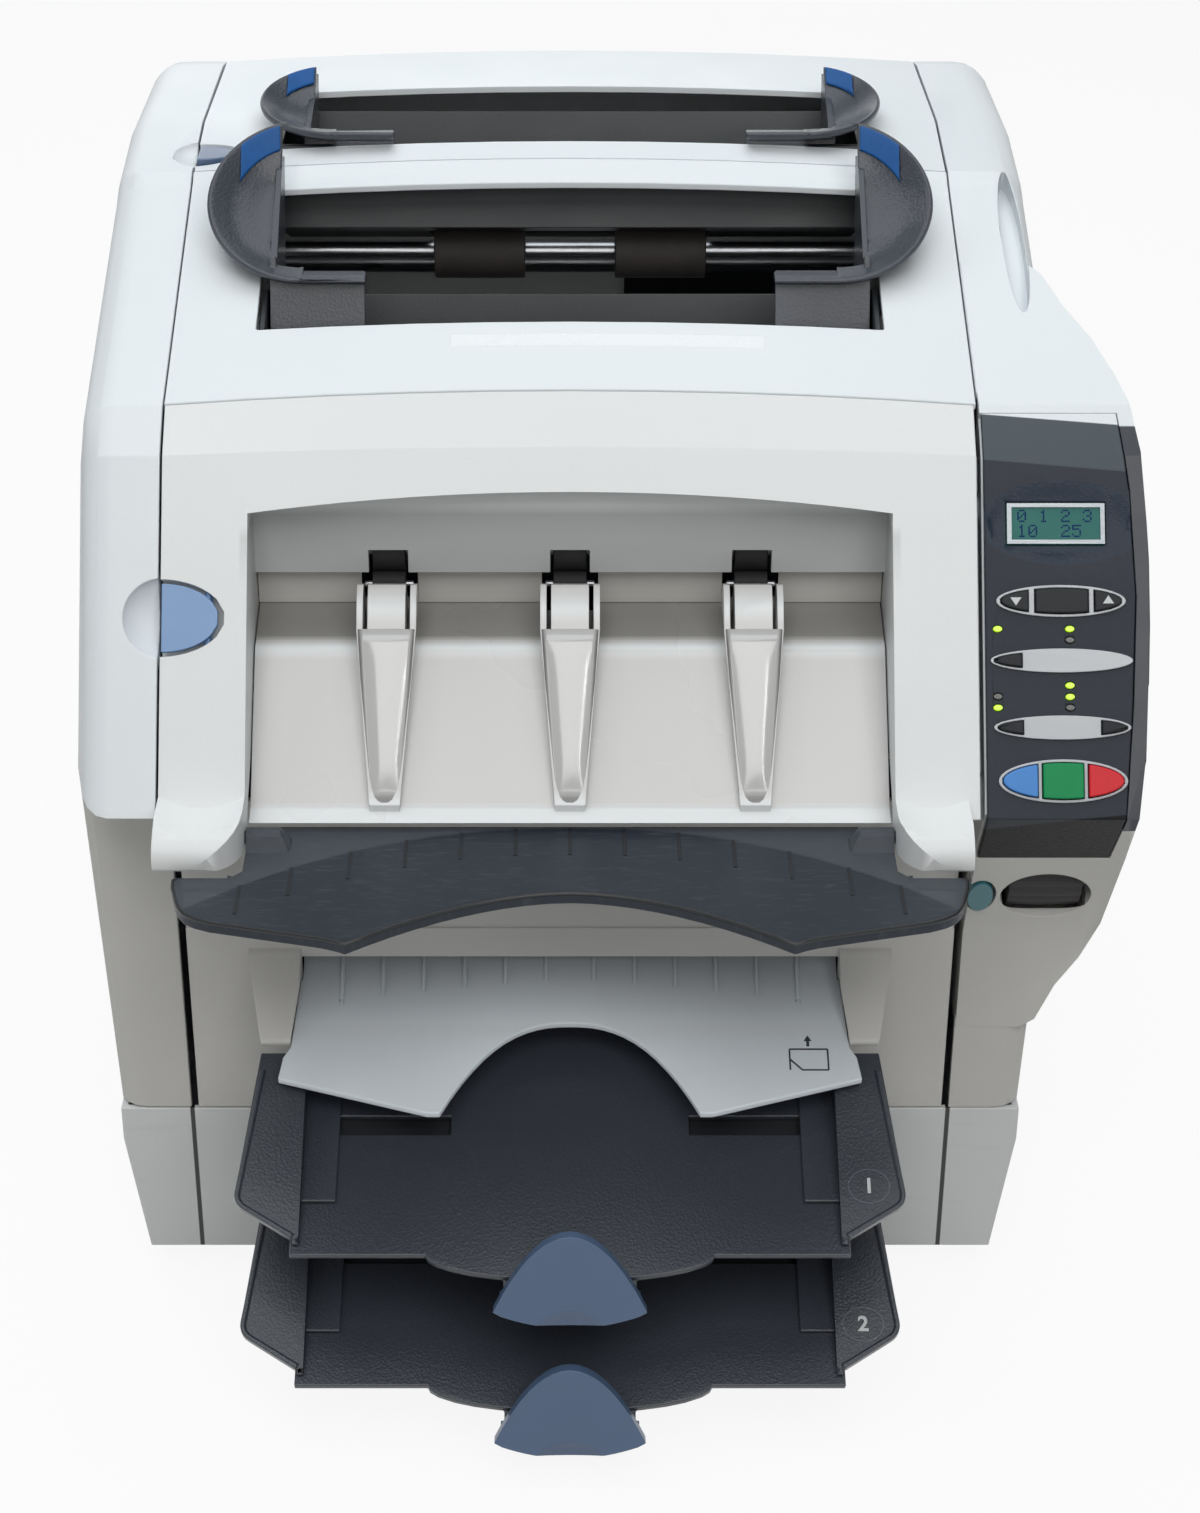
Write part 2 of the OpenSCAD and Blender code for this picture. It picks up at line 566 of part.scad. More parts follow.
// Lift lever: dome-shaped paddle on a pin below the tray's tongue
module lift_lever(k) color(slate) row() on_tray(k) {
  translate([0, lever_pin.x, lever_pin.y]) {
    translate([-21.2, 0, 0]) rotate([0, 90, 0]) cylinder(r = 4, h = 42.4);
    translate([-28, 0, 0]) rotate([0, 90, 0]) cylinder(r = 2.4, h = 56);
    rotate([90 - tray_a - 12, 0, 0]) difference() {
      union() {
        translate([0, 0, 6]) linear_extrude(5.5) polygon(concat(
          [for (i = [14:-1:-14]) let (q = sin(i * 90 / 14)) [lever_w / 2 * q, -1 + 33 * (1 - q * q)]],
          [for (i = [-9:9]) let (q = i / 10) [lever_w / 2 * q, -1.6 - 6.4 * (1 - q * q)]]));
        translate([-19, -4, 0]) cube([38, 8, 8]);
      }
      // Hollow for the thumb
      translate([0, -16.9, 47.7]) sphere(r = 40, $fn = 96);
    }
  }
}
module upper_lift_lever() lift_lever(0);
module lower_lift_lever() lift_lever(1);

// Front cover

function door_line(x) = let (c = rise(x), e = crease + 0.6 * c * face_u, m = seam + [0.15 * c, c])
  [lip, e, m - 0.35 * [18, 14] / norm([18, 14]), m - [0.9, -0.6] * wall * 0.2 - [-0.1, 0.85] * wall,
   e + [0.55, -0.72] * wall, lip + [wall * 0.86, -wall * 0.3]];

recess_top = crease_h - 19;
wall_y = 48;
fork_t = 309;

module door_opening() xz(-80, 44) polygon(concat(
  [[-recess_x, 200], [recess_x, 200], [recess_x, recess_top]],
  [for (i = [10:-1:-10]) let (q = i / 10) [recess_x * q, recess_top + 7 * (1 - q * q)]]));

// Nose below each front cheek: a shelf hollowed across, round at its front and inner corner
module cheek_end(x0, x1) difference() {
  intersection() {
    yz(x0, x1) polygon(concat(
      [[-27, lip_h + 1], lip + 11 * face_u + [1.4, -1]],
      [for (a = [84:-12:0]) [-36 - 27 * cos(a), lip_h - 6 + 14.5 * sin(a)]],
      [[-62.6, lip_h - 8], [-61, lip_h - 9.5], [-30, lip_h - 9.5], [-26, lip_h - 2]]));
    translate([0, 0, 200]) linear_extrude(80) polygon(concat(
      [[x0 > 0 ? x0 : x1, 0], [x0 > 0 ? x0 : x1, -46]],
      [for (a = [0:15:90]) let (q = 17 * (1 - sin(a)), w = 17 * (1 - cos(a)))
        [x0 > 0 ? x0 + w : x1 - w, -46 - 17 + q]],
      [[x0 > 0 ? x1 : x0, -63], [x0 > 0 ? x1 : x0, 0]]));
  }
  translate([(x0 + x1) / 2, -70, lip_h + 44.5]) rotate([-90, 0, 0]) cylinder(r = 41, h = 60, $fn = 120);
}

module front_cover() color(grey) row() difference() {
  union() {
    difference() {
      across([for (q = stations) q * (q < 0 ? door_x : door_axis.x + 2.8)], function (x) door_line(x));
      door_opening();
    }
    // Rounded edge on the hinge side
    on_face(door_axis.x, 0, door_axis.y) rotate([-90, 0, 0]) cylinder(r = 3.5, h = face_l);
    // Side walls of the recess
    for (s = [-1, 1]) yz(s > 0 ? recess_x : -recess_x - wall, s > 0 ? recess_x + wall : -recess_x)
      polygon([lip + [2, -7.5], [-44, lip_h - 7.5], [-46, lip_h - 3], lip + 1 * face_u + [0.5, 0], crease - 9 * face_u + [1, 0],
        [wall_y + 2, crease_h - 9], [wall_y + wall, recess_top - 12], [wall_y + 8, 288], [20, 266]]);
    // Upper wall and ceiling of the recess
    box(-recess_x - 1, recess_x + 1, wall_y, wall_y + wall, 308, crease_h - 8);
    yz(-recess_x - 1, recess_x + 1) polygon([[crease_y - 7.2, crease_h - 11.8], [crease_y - 5, crease_h - 8],
      [wall_y + 1, crease_h - 8], [wall_y + 1, crease_h - 11.8]]);
    cheek_end(-door_x, -recess_x);
    cheek_end(recess_x, door_axis.x - 1.8);
    // Housing of the cover latch
    on_face(-door_x, latch_t, -11) translate([0, -19, 0]) cube([30, 38, 10]);
  }
  // Windows of the drive rollers
  for (i = [-1:1]) box(i * finger_pitch - 8, i * finger_pitch + 8, wall_y - 2, wall_y + wall + 2, 300, 318);
  // Hinge notches, the pin stays
  for (t = [14, 126]) on_face(door_axis.x, t, door_axis.y) difference() {
    translate([-3.6, -4.4, -16]) cube([14, 8.8, 18.6]);
    rotate([90, 0, 0]) translate([0, 0, -6]) cylinder(r = 1, h = 12);
  }
  // Pocket and pin holes of the latch
  on_face(-door_x - 1, latch_t, -8) linear_extrude(20) polygon(lens(26.4, 15.4, -3, 26.2));
  on_face(-door_x + 18.6, latch_t - 17.2, -4) rotate([-90, 0, 0]) cylinder(r = 1.6 + bore_play, h = 34.4);
  // Bores of the stacker tray's pins
  rod(-recess_x - 2, recess_x + 2, stack_pin, 2.5 + bore_play);
}

module cover_latch() color(slate) row() on_face(-door_x + 0.6, latch_t) {
  translate([0, 0, -3]) linear_extrude(3.6) polygon(lens(22.5, 13.6, 0, 22));
  translate([18, -16.6, -4]) rotate([-90, 0, 0]) cylinder(r = 1.6, h = 33.2);
  translate([15, -6, -4.6]) cube([5, 12, 3]);
}

exit_line = concat([[wall_y + 10, 292], [34, 286.5]], arc([30, 279], 7, 75, 140, 4), [[-21, 239], [-30, 236.5]]);

module exit_plate() color(grey) row() difference() {
  union() {
    yz(-recess_x + 0.5, recess_x - 0.5) polygon(concat(exit_line, turned([for (p = exit_line) p + (p.x < -25 ? [2, -1] : [1.6, -2.6])])));
    // Fingers, wide at the fork and narrow at the foot
    for (i = [-1:1]) intersection() {
      yz(i * finger_pitch - 14, i * finger_pitch + 14) polygon([
        [44, 290], [44, 300], [40, 307], [35, fork_t], [29, 306], [22, 298], [-24, 241], [-24, 238], [-21, 236.5], [30, 280]]);
      xz(-40, 60) polygon([
        [i * finger_pitch - 5, 230], [i * finger_pitch + 5, 230], [i * finger_pitch + 12, 296],
        [i * finger_pitch + 12, 312], [i * finger_pitch - 12, 312], [i * finger_pitch - 12, 296]]);
    }
  }
  for (i = [-1:1]) {
    // Forks: seat of the roller and slots of its axle
    rod(i * finger_pitch - 7.2, i * finger_pitch + 7.2, idler_c, idler_r + 0.5);
    box(i * finger_pitch - 7.2, i * finger_pitch + 7.2, idler_c.x - 4, 60, idler_c.y, 320);
    rod(i * finger_pitch - 10.4, i * finger_pitch + 10.4, idler_c, 1.2 + bore_play);
    box(i * finger_pitch - 9.4, i * finger_pitch - 7.6, 10, 60, 288, 320);
    box(i * finger_pitch + 7.6, i * finger_pitch + 9.4, 10, 60, 288, 320);
  }
}

module exit_idlers() color(dark) row() for (i = [-1:1]) {
  rod(i * finger_pitch - 6.7, i * finger_pitch + 6.7, idler_c, idler_r);
  rod(i * finger_pitch - 10, i * finger_pitch + 10, idler_c, 1.2);
}

module roller(c, r, spans) {
  rod(-frame_x - 2, frame_x + 2, c, shaft_r);
  for (q = spans) rod(q.x, q.y, c, r);
}

module exit_shaft() color(steel) row()
  roller(shaft_exit, drive_r, [for (i = [-1:1]) [i * finger_pitch - 6.7, i * finger_pitch + 6.7]]);

module stacker_tray() color([0.2, 0.23, 0.27, 0.8]) row() {
  z1 = stack_pin.y - 3;
  translate([0, 0, z1 - stacker_t]) difference() {
    union() {
      linear_extrude(stacker_t) polygon(stacker_plan(0));
      // Rim below the front edge
      translate([0, 0, -1.6]) linear_extrude(2.6) difference() {
        polygon(stacker_plan(0));
        polygon(stacker_plan(2.4));
        translate([-200, -66]) square([400, 80]);
      }
      for (i = [-6:6]) let (x = i == 0 ? 0 : i * 22)
        translate([x - 0.8, -74, -1.6]) cube([1.6, 14, 2.6]);
    }
  }
  for (s = [-1, 1]) {
    hull() {
      rod(s > 0 ? recess_x - 14 : -recess_x + 0.6, s > 0 ? recess_x - 0.6 : -recess_x + 14, stack_pin, 4);
      rod(s > 0 ? recess_x - 18 : -recess_x + 0.6, s > 0 ? recess_x - 0.6 : -recess_x + 18, stack_pin - [0, 2], 1);
      box(s > 0 ? recess_x - 18 : -recess_x + 0.6, s > 0 ? recess_x - 0.6 : -recess_x + 18,
        stack_pin.x - 7, stack_pin.x + 5, z1 - 2, z1 - 1);
    }
    rod(s > 0 ? recess_x - 5 : -recess_x - 1.5, s > 0 ? recess_x + 1.5 : -recess_x + 5, stack_pin, 2.5);
  }
}
function stacker_half(d) = [
  [-recess_x + 0.6 + d, stack_pin.x + 13], [-recess_x + 0.6 + d, -60], [-recess_x - 4, -65 - d], [-151.6, -65 - d],
  [-153.4 + d, -66.6 - 0.4 * d], [-153 + d, -72], [-150.6 + d, -82], [-149 + d, -86.6], [-146.4 + d, -90.8],
  [-142 + 0.8 * d, -94 + 0.6 * d], [-136 + 0.5 * d, -96.6 + 0.9 * d], [-93, -107.4 + d], [-88 + 0.2 * d, -109.4 + d],
  [-84 + 0.3 * d, -111.5 + d]];
function stacker_plan(d) = concat(stacker_half(d),
  [for (i = [-9:9]) let (q = i / 10) [(84 - d) * q, -111.5 + d + 35.5 * (1 - pow(abs(q), 1.8))]],
  mirrored(stacker_half(d)));

// Top covers and hoppers

function sheet_line(p) = concat(p, turned([for (q = p) q - [0, wall]]));
function top_line(x) = let (c = rise(x))
  sheet_line([seam + [0.15 * c + 0.7, c + 0.2], [103, deck(103) + c], brow + [0, c], split + [-0.4, c]]);
function rear_arc(r, c) = [for (a = [80, 60, 40, 20, 5])
  [body_d - 45 + r * cos(a), ridge_h - 48 + r * sin(a) + c * a / 90]];
function insert_line(x) = let (c = rise(x)) concat(
  [split + [0.4, c], ridge + [0, c]], rear_arc(45, c),
  turned(rear_arc(45 - wall, c)), [ridge + [0, c - wall], split + [0.4, c - wall]]);

// Upright passage of a hopper: front and back lips, depth below them
module chute(f, b, grow, deep, up) {
  a = f - grow * lean_v;
  c = b + grow * lean_v;
  w = (c - a) * lean_v;
  polygon([a - deep * lean_u, a + up * lean_u, a + up * lean_u + w * lean_v, a - deep * lean_u + w * lean_v]);
}

module top_cover() color(white) row() difference() {
  across([for (q = stations) q * (seam_x - seam_gap)], function (x) top_line(x));
  xy_hole(env_x, env_front.x, env_back.x);
}
module xy_hole(x, y0, y1) translate([0, 0, 300]) linear_extrude(200) polygon(concat(
  arc([-x + 1.2, y0 + 1.2], 1.2, 270, 180, 4), arc([-x + 1.2, y1 - 1.2], 1.2, 180, 90, 4),
  arc([x - 1.2, y1 - 1.2], 1.2, 90, 0, 4), arc([x - 1.2, y0 + 1.2], 1.2, 0, -90, 4)));

module hopper(f, b, x, deep, roll) difference() {
  yz(-x + 0.6, x - 0.6) intersection() {
    chute(f, b, -0.6, deep, 20);
    polygon([[0, 0], [0, f.y - 7.2], [f.x - 0.7, f.y - 7.2], [f.x - 0.7, f.y - 1], [b.x, b.y - 1], [400, b.y - 1], [400, 0]]);
  }
  yz(-x + 3.2, x - 3.2) chute(f, b, -3.2, deep - 2.6, 40);
  // Slot of the feed roller
  rod(-62, 62, roll, feed_r + 1);
}
function feed_c(f, b, deep) = f - (deep + feed_r - 4) * lean_u + 0.5 * ((b - f) * lean_v) * lean_v;
env_roll = feed_c(env_front, env_back, hopper_deep);
ins_roll = feed_c(ins_front, ins_back, insert_deep);

module envelope_hopper() color(dark) row() hopper(env_front, env_back, env_x, hopper_deep, env_roll);
module insert_hopper() color(dark) row() hopper(ins_front, ins_back, ins_x, insert_deep, ins_roll);

module insert_cover() color(white) row() difference() {
  union() {
    insert_sheet();
    // Hinge knuckles at the back
    for (x = [-115, -91, 85, 109]) {
      rod(x, x + 6, hinge_rear, 4);
      box(x, x + 6, body_d - 2.5, body_d + 1, hinge_rear.y, hinge_rear.y + 9);
    }
    for (x = [-110, 90]) rod(x - 1, x + 21, hinge_rear, 1.8);
  }
  translate([-seam_x + 15.4, top_latch.x - 12, ridge_h - 8.2]) rotate([-90, 0, 0])
    cylinder(r = 1.4 + bore_play, h = 24);
}
module insert_sheet() {
  difference() {
    across([for (q = stations) q * (seam_x - move_gap)], function (x) insert_line(x));
    xy_hole(ins_x, ins_front.x - 1, ins_back.x);
    // Pocket of the latch
    translate([-seam_x - 1, top_latch.x, ridge_h - 12]) linear_extrude(60) polygon(lens(21, 10.4, -2, 20.8));
    for (s = [-1, 1]) box(s * 100 - 9.2, s * 100 + 9.2, body_d - 9, body_d + 9, hinge_rear.y - 9, hinge_rear.y + 5);
  }
  // Floor and pin lugs of the latch pocket
  difference() {
    box(-seam_x + 1.5, -seam_x + 23, top_latch.x - 13, top_latch.x + 13, ridge_h - 13, ridge_h - 6);
    translate([-seam_x - 1, top_latch.x, ridge_h - 11]) linear_extrude(60) polygon(lens(21, 10.4, -2, 20.8));
  }
}

module insert_latch() color(slate) row() translate([-seam_x + 1.6, top_latch.x, ridge_h - 7.4]) {
  linear_extrude(4.2) polygon(lens(16, 8.8, 0, 15.6));
  translate([13.8, -11, -0.8]) rotate([-90, 0, 0]) cylinder(r = 1.4, h = 22);
}

// Guide of a hopper: side plate, front lip, round scoop and a bar in front of the stack
// s = side, w = width between guides, lead = distance of the stack behind the hopper's front
module hopper_guide(f, b, deep, w, c, r, tilt, lead, s) mirror([s > 0 ? 0 : 1, 0, 0]) {
  x0 = w / 2;
  rim = [[r * 0.92, -0.5], [r * 0.96, 0.4], [r - 0.6, 0.2], [r, -0.8], [r - 0.5, -2.2], [r * 0.92, -4]];
  difference() {
    translate([x0 - 10.6, c.x, c.y]) rotate([tilt, 0, 0]) {
      rotate([0, 0, 270]) rotate_extrude(angle = 168) polygon(concat(
        [[2, -r * 0.27], [r * 0.5, -r * 0.22], [r * 0.73, -r * 0.13]], rim,
        [[r * 0.73, -r * 0.13 - 3], [r * 0.5, -r * 0.22 - 3], [2, -r * 0.27 - 3]]));
      yz(-26, 0.2) polygon([for (p = concat([[r * 0.8, -r * 0.1 - 0.4]], rim, [[r * 0.8, -r * 0.1 - 3.4]])) [-p.x, p.y]]);
    }
    // Passage of the stack
    yz(x0 - 80, x0 + 0.6) chute(f + lead * lean_v, b, 0, deep, 90);
  }
  // Side plate and foot
  yz(x0 + 0.6, x0 + 3) intersection() {
    chute(f + (lead - 3.4) * lean_v, b - 4.4 * lean_v, 0, deep - 3, 90);
    polygon([[0, 0], [0, 500], [c.x - r * 0.5 * cos(tilt), c.y - r * 0.5 * sin(tilt) - r * 0.2],
      [c.x + r * 0.6 * cos(tilt), c.y + r * 0.6 * sin(tilt) - r * 0.2], [400, c.y + r * 0.3], [400, 0]]);
  }
  // Front lip inside the hopper
  yz(x0 - 36, x0 + 3) intersection() {
    chute(f + (lead - 3.4) * lean_v, f + (lead - 0.6) * lean_v, 0, deep - 3, 90);
    polygon([[0, 0], [0, 500], [c.x - r * 0.98 * cos(tilt), c.y - r * 0.98 * sin(tilt) - 2.5],
      [c.x - r * 0.5 * cos(tilt), c.y - r * 0.5 * sin(tilt) - r * 0.22], [400, c.y - 9], [400, 0]]);
  }
}

// Pad on the inner side of a scoop, between the stack and the scoop's outer ear
module grip_pad(w, c, r, tilt, s) mirror([s > 0 ? 0 : 1, 0, 0])
  translate([w / 2 - 10.6, c.x, c.y]) rotate([tilt, 0, 0]) intersection() {
    rotate([0, 0, 16]) translate([0, 0, 0.15]) rotate_extrude(angle = 62) polygon([
      [r * 0.74, -r * 0.1238], [r * 0.92, -0.5], [r * 0.945, 0.06], [r * 0.945, 1], [r * 0.915, 0.75],
      [r * 0.74, -r * 0.1238 + 1.3]]);
    translate([11.8, -r, -r]) cube([r * 0.68 - 11.8, 3 * r, 2 * r]);
  }

module envelope_guide_left() color(charcoal) row()
  hopper_guide(env_front, env_back, hopper_deep, envelope_w, env_scoop, scoop_r, 35, 19.5, -1);
module envelope_guide_right() color(charcoal) row()
  hopper_guide(env_front, env_back, hopper_deep, envelope_w, env_scoop, scoop_r, 35, 19.5, 1);
module envelope_pad_left() color(blue) row() grip_pad(envelope_w, env_scoop, scoop_r, 35, -1);
module envelope_pad_right() color(blue) row() grip_pad(envelope_w, env_scoop, scoop_r, 35, 1);
module insert_guide_left() color(charcoal) row()
  hopper_guide(ins_front, ins_back, insert_deep, insert_w, ins_scoop, insert_scoop_r, 8, 11, -1);
module insert_guide_right() color(charcoal) row()
  hopper_guide(ins_front, ins_back, insert_deep, insert_w, ins_scoop, insert_scoop_r, 8, 11, 1);
module insert_pad_left() color(blue) row() grip_pad(insert_w, ins_scoop, insert_scoop_r, 8, -1);
module insert_pad_right() color(blue) row() grip_pad(insert_w, ins_scoop, insert_scoop_r, 8, 1);

// Back

inlet_c = [-110, 118];
module rear_cover() color(grey) row() difference() {
  union() {
    difference() {
      box(-seam_x + seam_gap, seam_x - seam_gap, body_d - wall, body_d, panel_z, hinge_rear.y - 0.4);
      for (s = [-1, 1]) box(s * 100 - 16, s * 100 + 16, body_d - 9, body_d + 9, hinge_rear.y - 5, hinge_rear.y + 9);
    }
    for (x = [-108.6, 91.4]) {
      rod(x, x + 17.2, hinge_rear, 4);
      box(x, x + 17.2, body_d - wall, body_d + 1, hinge_rear.y - 9, hinge_rear.y);
    }
  }
  for (x = [-109, 91]) rod(x, x + 18, hinge_rear, 1.8 + bore_play);
  box(inlet_c.x - 14, inlet_c.x + 14, body_d - 9, body_d + 9, inlet_c.y - 10, inlet_c.y + 10);
  box(inlet_c.x + 24, inlet_c.x + 38, body_d - 9, body_d + 9, inlet_c.y - 11, inlet_c.y + 11);
  for (i = [0:9]) box(30, 130, body_d - 9, body_d + 9, 230 + 9 * i, 234 + 9 * i);
}

module power_inlet() color(dark) row() difference() {
  union() {
    box(inlet_c.x - 13.7, inlet_c.x + 13.7, body_d - 18, body_d, inlet_c.y - 9.7, inlet_c.y + 9.7);
    box(inlet_c.x - 17, inlet_c.x + 17, body_d, body_d + 1.5, inlet_c.y - 12.5, inlet_c.y + 12.5);
  }
  box(inlet_c.x - 11.5, inlet_c.x + 11.5, body_d - 15, body_d + 9, inlet_c.y - 7.5, inlet_c.y + 7.5);
}

module power_switch() color(dark) row() translate([inlet_c.x + 31, body_d - 3, inlet_c.y]) {
  rotate([0, 90, 0]) translate([0, 0, -6.4]) cylinder(r = 3, h = 12.8);
  yz(-6.4, 6.4) polygon([[-4, -8.6], [3.4, -9.6], [2.4, 0], [5.6, 9.4], [-4, 8.6]]);
}

// Inside

plate_line = [[8, wall + 0.2], [8, lip_h - 17], [62, crease_h - 16], [150, ridge_h - 41], [335, ridge_h - 41],
  [body_d - 16, crease_h - 20], [body_d - 16, wall + 0.2]];
function tray_roll(k) = [130 - k * tray_step, tray_h + 98.4 - k * tray_drop];
shafts = [shaft_exit, fold_a, fold_b, env_roll, tray_roll(0), tray_roll(1)];
bars = [[30, 30], [230, 30], [340, 30], [250, 130], [340, 330], [255, 290]];

module inner_frame() color(steel) row() {
  for (s = [-1, 1]) difference() {
    yz(s > 0 ? inner_x : -frame_x, s > 0 ? frame_x : -inner_x) polygon(plate_line);
    for (c = concat(shafts, [wheel_c])) rod(-frame_x - 1, frame_x + 1, c, shaft_r + bore_play);
    rod(-frame_x - 1, frame_x + 1, ins_roll, shaft_r + bore_play);
  }
  for (c = bars) rod(-inner_x, inner_x, c, 5);
}

module fold_roller_upper() color(dark) row() roller(fold_b, fold_r, [[-136, 136]]);
module fold_roller_lower() color(dark) row() roller(fold_a, fold_r, [[-136, 136]]);
module upper_feed_roller() color(dark) row() roller(tray_roll(0), feed_r, [[-70, -40], [40, 70]]);
module lower_feed_roller() color(dark) row() roller(tray_roll(1), feed_r, [[-70, -40], [40, 70]]);
module envelope_feed_roller() color(dark) row() roller(env_roll, feed_r, [[-60, -20], [20, 60]]);
module insert_feed_roller() color(dark) row() roller(ins_roll, feed_r, [[-60, -20], [20, 60]]);

fold_len = ridge_h - 338;
module fold_plates() color(steel) row() for (q = [[[200, 262], 50], [[200, 214], -38]])
  translate([0, q[0].x, q[0].y]) rotate([q[1], 0, 0]) {
    translate([-inner_x + 0.3, 0, 0]) cube([2 * inner_x - 0.6, fold_len, 1.2]);
    translate([-inner_x + 0.3, 0, 4]) cube([2 * inner_x - 0.6, fold_len, 1.2]);
    for (x = [-120, 110]) translate([x, fold_len - 10, 0.6]) cube([10, 10, 4]);
  }

module drive_motor() color(dark) row() {
  rod(-inner_x, -inner_x + 6, [300, 84], 34);
  rod(-inner_x + 6, -inner_x + 74, [300, 84], 31);
  rod(-inner_x + 74, -inner_x + 80, [300, 84], 12);
}

base_pan();
rubber_feet();
left_side_cover();
right_side_cover();
lower_front_cover();
manual_feed_tray();
upper_sheet_tray();
lower_sheet_tray();
upper_guide_left();
upper_guide_right();
lower_guide_left();
lower_guide_right();
upper_lift_lever();
lower_lift_lever();
front_cover();
exit_plate();
exit_idlers();
exit_shaft();
cover_latch();
stacker_tray();
top_cover();
envelope_hopper();
envelope_guide_left();
envelope_guide_right();
envelope_pad_left();
envelope_pad_right();
insert_cover();
insert_hopper();
insert_guide_left();
insert_guide_right();
insert_pad_left();
insert_pad_right();
insert_latch();
rear_cover();
power_inlet();
power_switch();
control_fascia();
display_panel();
indicator_lamps();
button_surrounds();
down_button();
menu_button();
up_button();
tray_button();
fold_button();
seal_button();
clear_button();
start_button();
stop_button();
hand_wheel();
side_release();
inner_frame();
fold_roller_upper();
fold_roller_lower();
upper_feed_roller();
lower_feed_roller();
envelope_feed_roller();
insert_feed_roller();
fold_plates();
drive_motor();
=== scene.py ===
import json
import math
import bpy
import bmesh
from mathutils import Matrix, Vector
from mathutils.bvhtree import BVHTree


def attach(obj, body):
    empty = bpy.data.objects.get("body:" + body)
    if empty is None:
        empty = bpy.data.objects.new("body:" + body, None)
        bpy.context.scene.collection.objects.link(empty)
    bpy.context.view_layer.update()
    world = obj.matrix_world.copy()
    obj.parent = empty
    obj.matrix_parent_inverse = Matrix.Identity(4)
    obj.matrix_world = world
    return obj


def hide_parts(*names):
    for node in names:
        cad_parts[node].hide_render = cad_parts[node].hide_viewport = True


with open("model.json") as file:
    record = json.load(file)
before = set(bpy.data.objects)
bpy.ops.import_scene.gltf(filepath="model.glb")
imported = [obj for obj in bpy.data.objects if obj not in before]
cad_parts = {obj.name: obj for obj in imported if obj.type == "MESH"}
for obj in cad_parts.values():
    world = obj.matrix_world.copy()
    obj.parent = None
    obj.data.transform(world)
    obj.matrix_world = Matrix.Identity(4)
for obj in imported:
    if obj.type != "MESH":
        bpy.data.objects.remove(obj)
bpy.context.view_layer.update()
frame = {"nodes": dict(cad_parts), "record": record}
scene = bpy.context.scene
scene.view_settings.view_transform = "Standard"
print("frame loaded:", len(frame["nodes"]), "nodes")

# The machine's own measures are in millimetres from the middle of the feed path, the lower front face
# and the underside of the base; this is where that point lies in the frame.
machineZero = Vector((-0.0143, -0.12570975, 0.012))
mm = 0.001

# The slanted front: where its lower edge lies, and the cosine and sine of its lean
slopeSet = {"y": -38.0, "z": 243.0, "lean": (0.57531, 0.81791)}


def at(x, y, z):
    return machineZero + Vector((x, y, z)) * mm


# x across, t up the slanted front, f out of it
def onFace(x, t, f):
    cosine, sine = slopeSet["lean"]
    return at(x, slopeSet["y"] + cosine * t - sine * f, slopeSet["z"] + sine * t + cosine * f)


def colour(r, g, b):
    def linear(v):
        v = v / 255
        return v / 12.92 if v <= 0.04045 else ((v + 0.055) / 1.055) ** 2.4
    return (linear(r), linear(g), linear(b), 1.0)


def tint(c, k):
    return (min(1, c[0] * k), min(1, c[1] * k), min(1, c[2] * k), 1.0)


# Camera

cameraSet = {"place": at(0, -1064.8, 864.3), "tilt": 60.0, "lens": 72.9, "shift": 0.0198}

cameraData = bpy.data.cameras.new("photoCamera")
cameraData.lens = cameraSet["lens"]
cameraData.sensor_width = 36.0
cameraData.shift_x = cameraSet["shift"]
cameraData.clip_end = 50.0
camera = bpy.data.objects.new("photoCamera", cameraData)
camera.location = cameraSet["place"]
camera.rotation_euler = (math.radians(cameraSet["tilt"]), 0, 0)
scene.collection.objects.link(camera)
scene.camera = camera


# Shader maths

class Sock:
    def __init__(self, finish, socket):
        self.finish = finish
        self.socket = socket

    def op(self, kind, *values):
        return self.finish.node("ShaderNodeMath", {"operation": kind}, dict(enumerate(values)))

    def __add__(self, o):
        return self.op("ADD", self, o)

    def __radd__(self, o):
        return self.op("ADD", o, self)

    def __sub__(self, o):
        return self.op("SUBTRACT", self, o)

    def __rsub__(self, o):
        return self.op("SUBTRACT", o, self)

    def __mul__(self, o):
        return self.op("MULTIPLY", self, o)

    def __truediv__(self, o):
        return self.op("DIVIDE", self, o)

    def __pow__(self, o):
        return self.op("POWER", self, o)

    def __gt__(self, o):
        return self.op("GREATER_THAN", self, o)

    def __lt__(self, o):
        return self.op("LESS_THAN", self, o)

    def __abs__(self):
        return self.op("ABSOLUTE", self)

    def least(self, o):
        return self.op("MINIMUM", self, o)

    def clamp(self, low=0.0, high=1.0):
        return self.op("MAXIMUM", self, low).least(high)

    # 0 at low and 1 at high, straight between them
    def band(self, low, high):
        return ((self - low) / (high - low)).clamp()


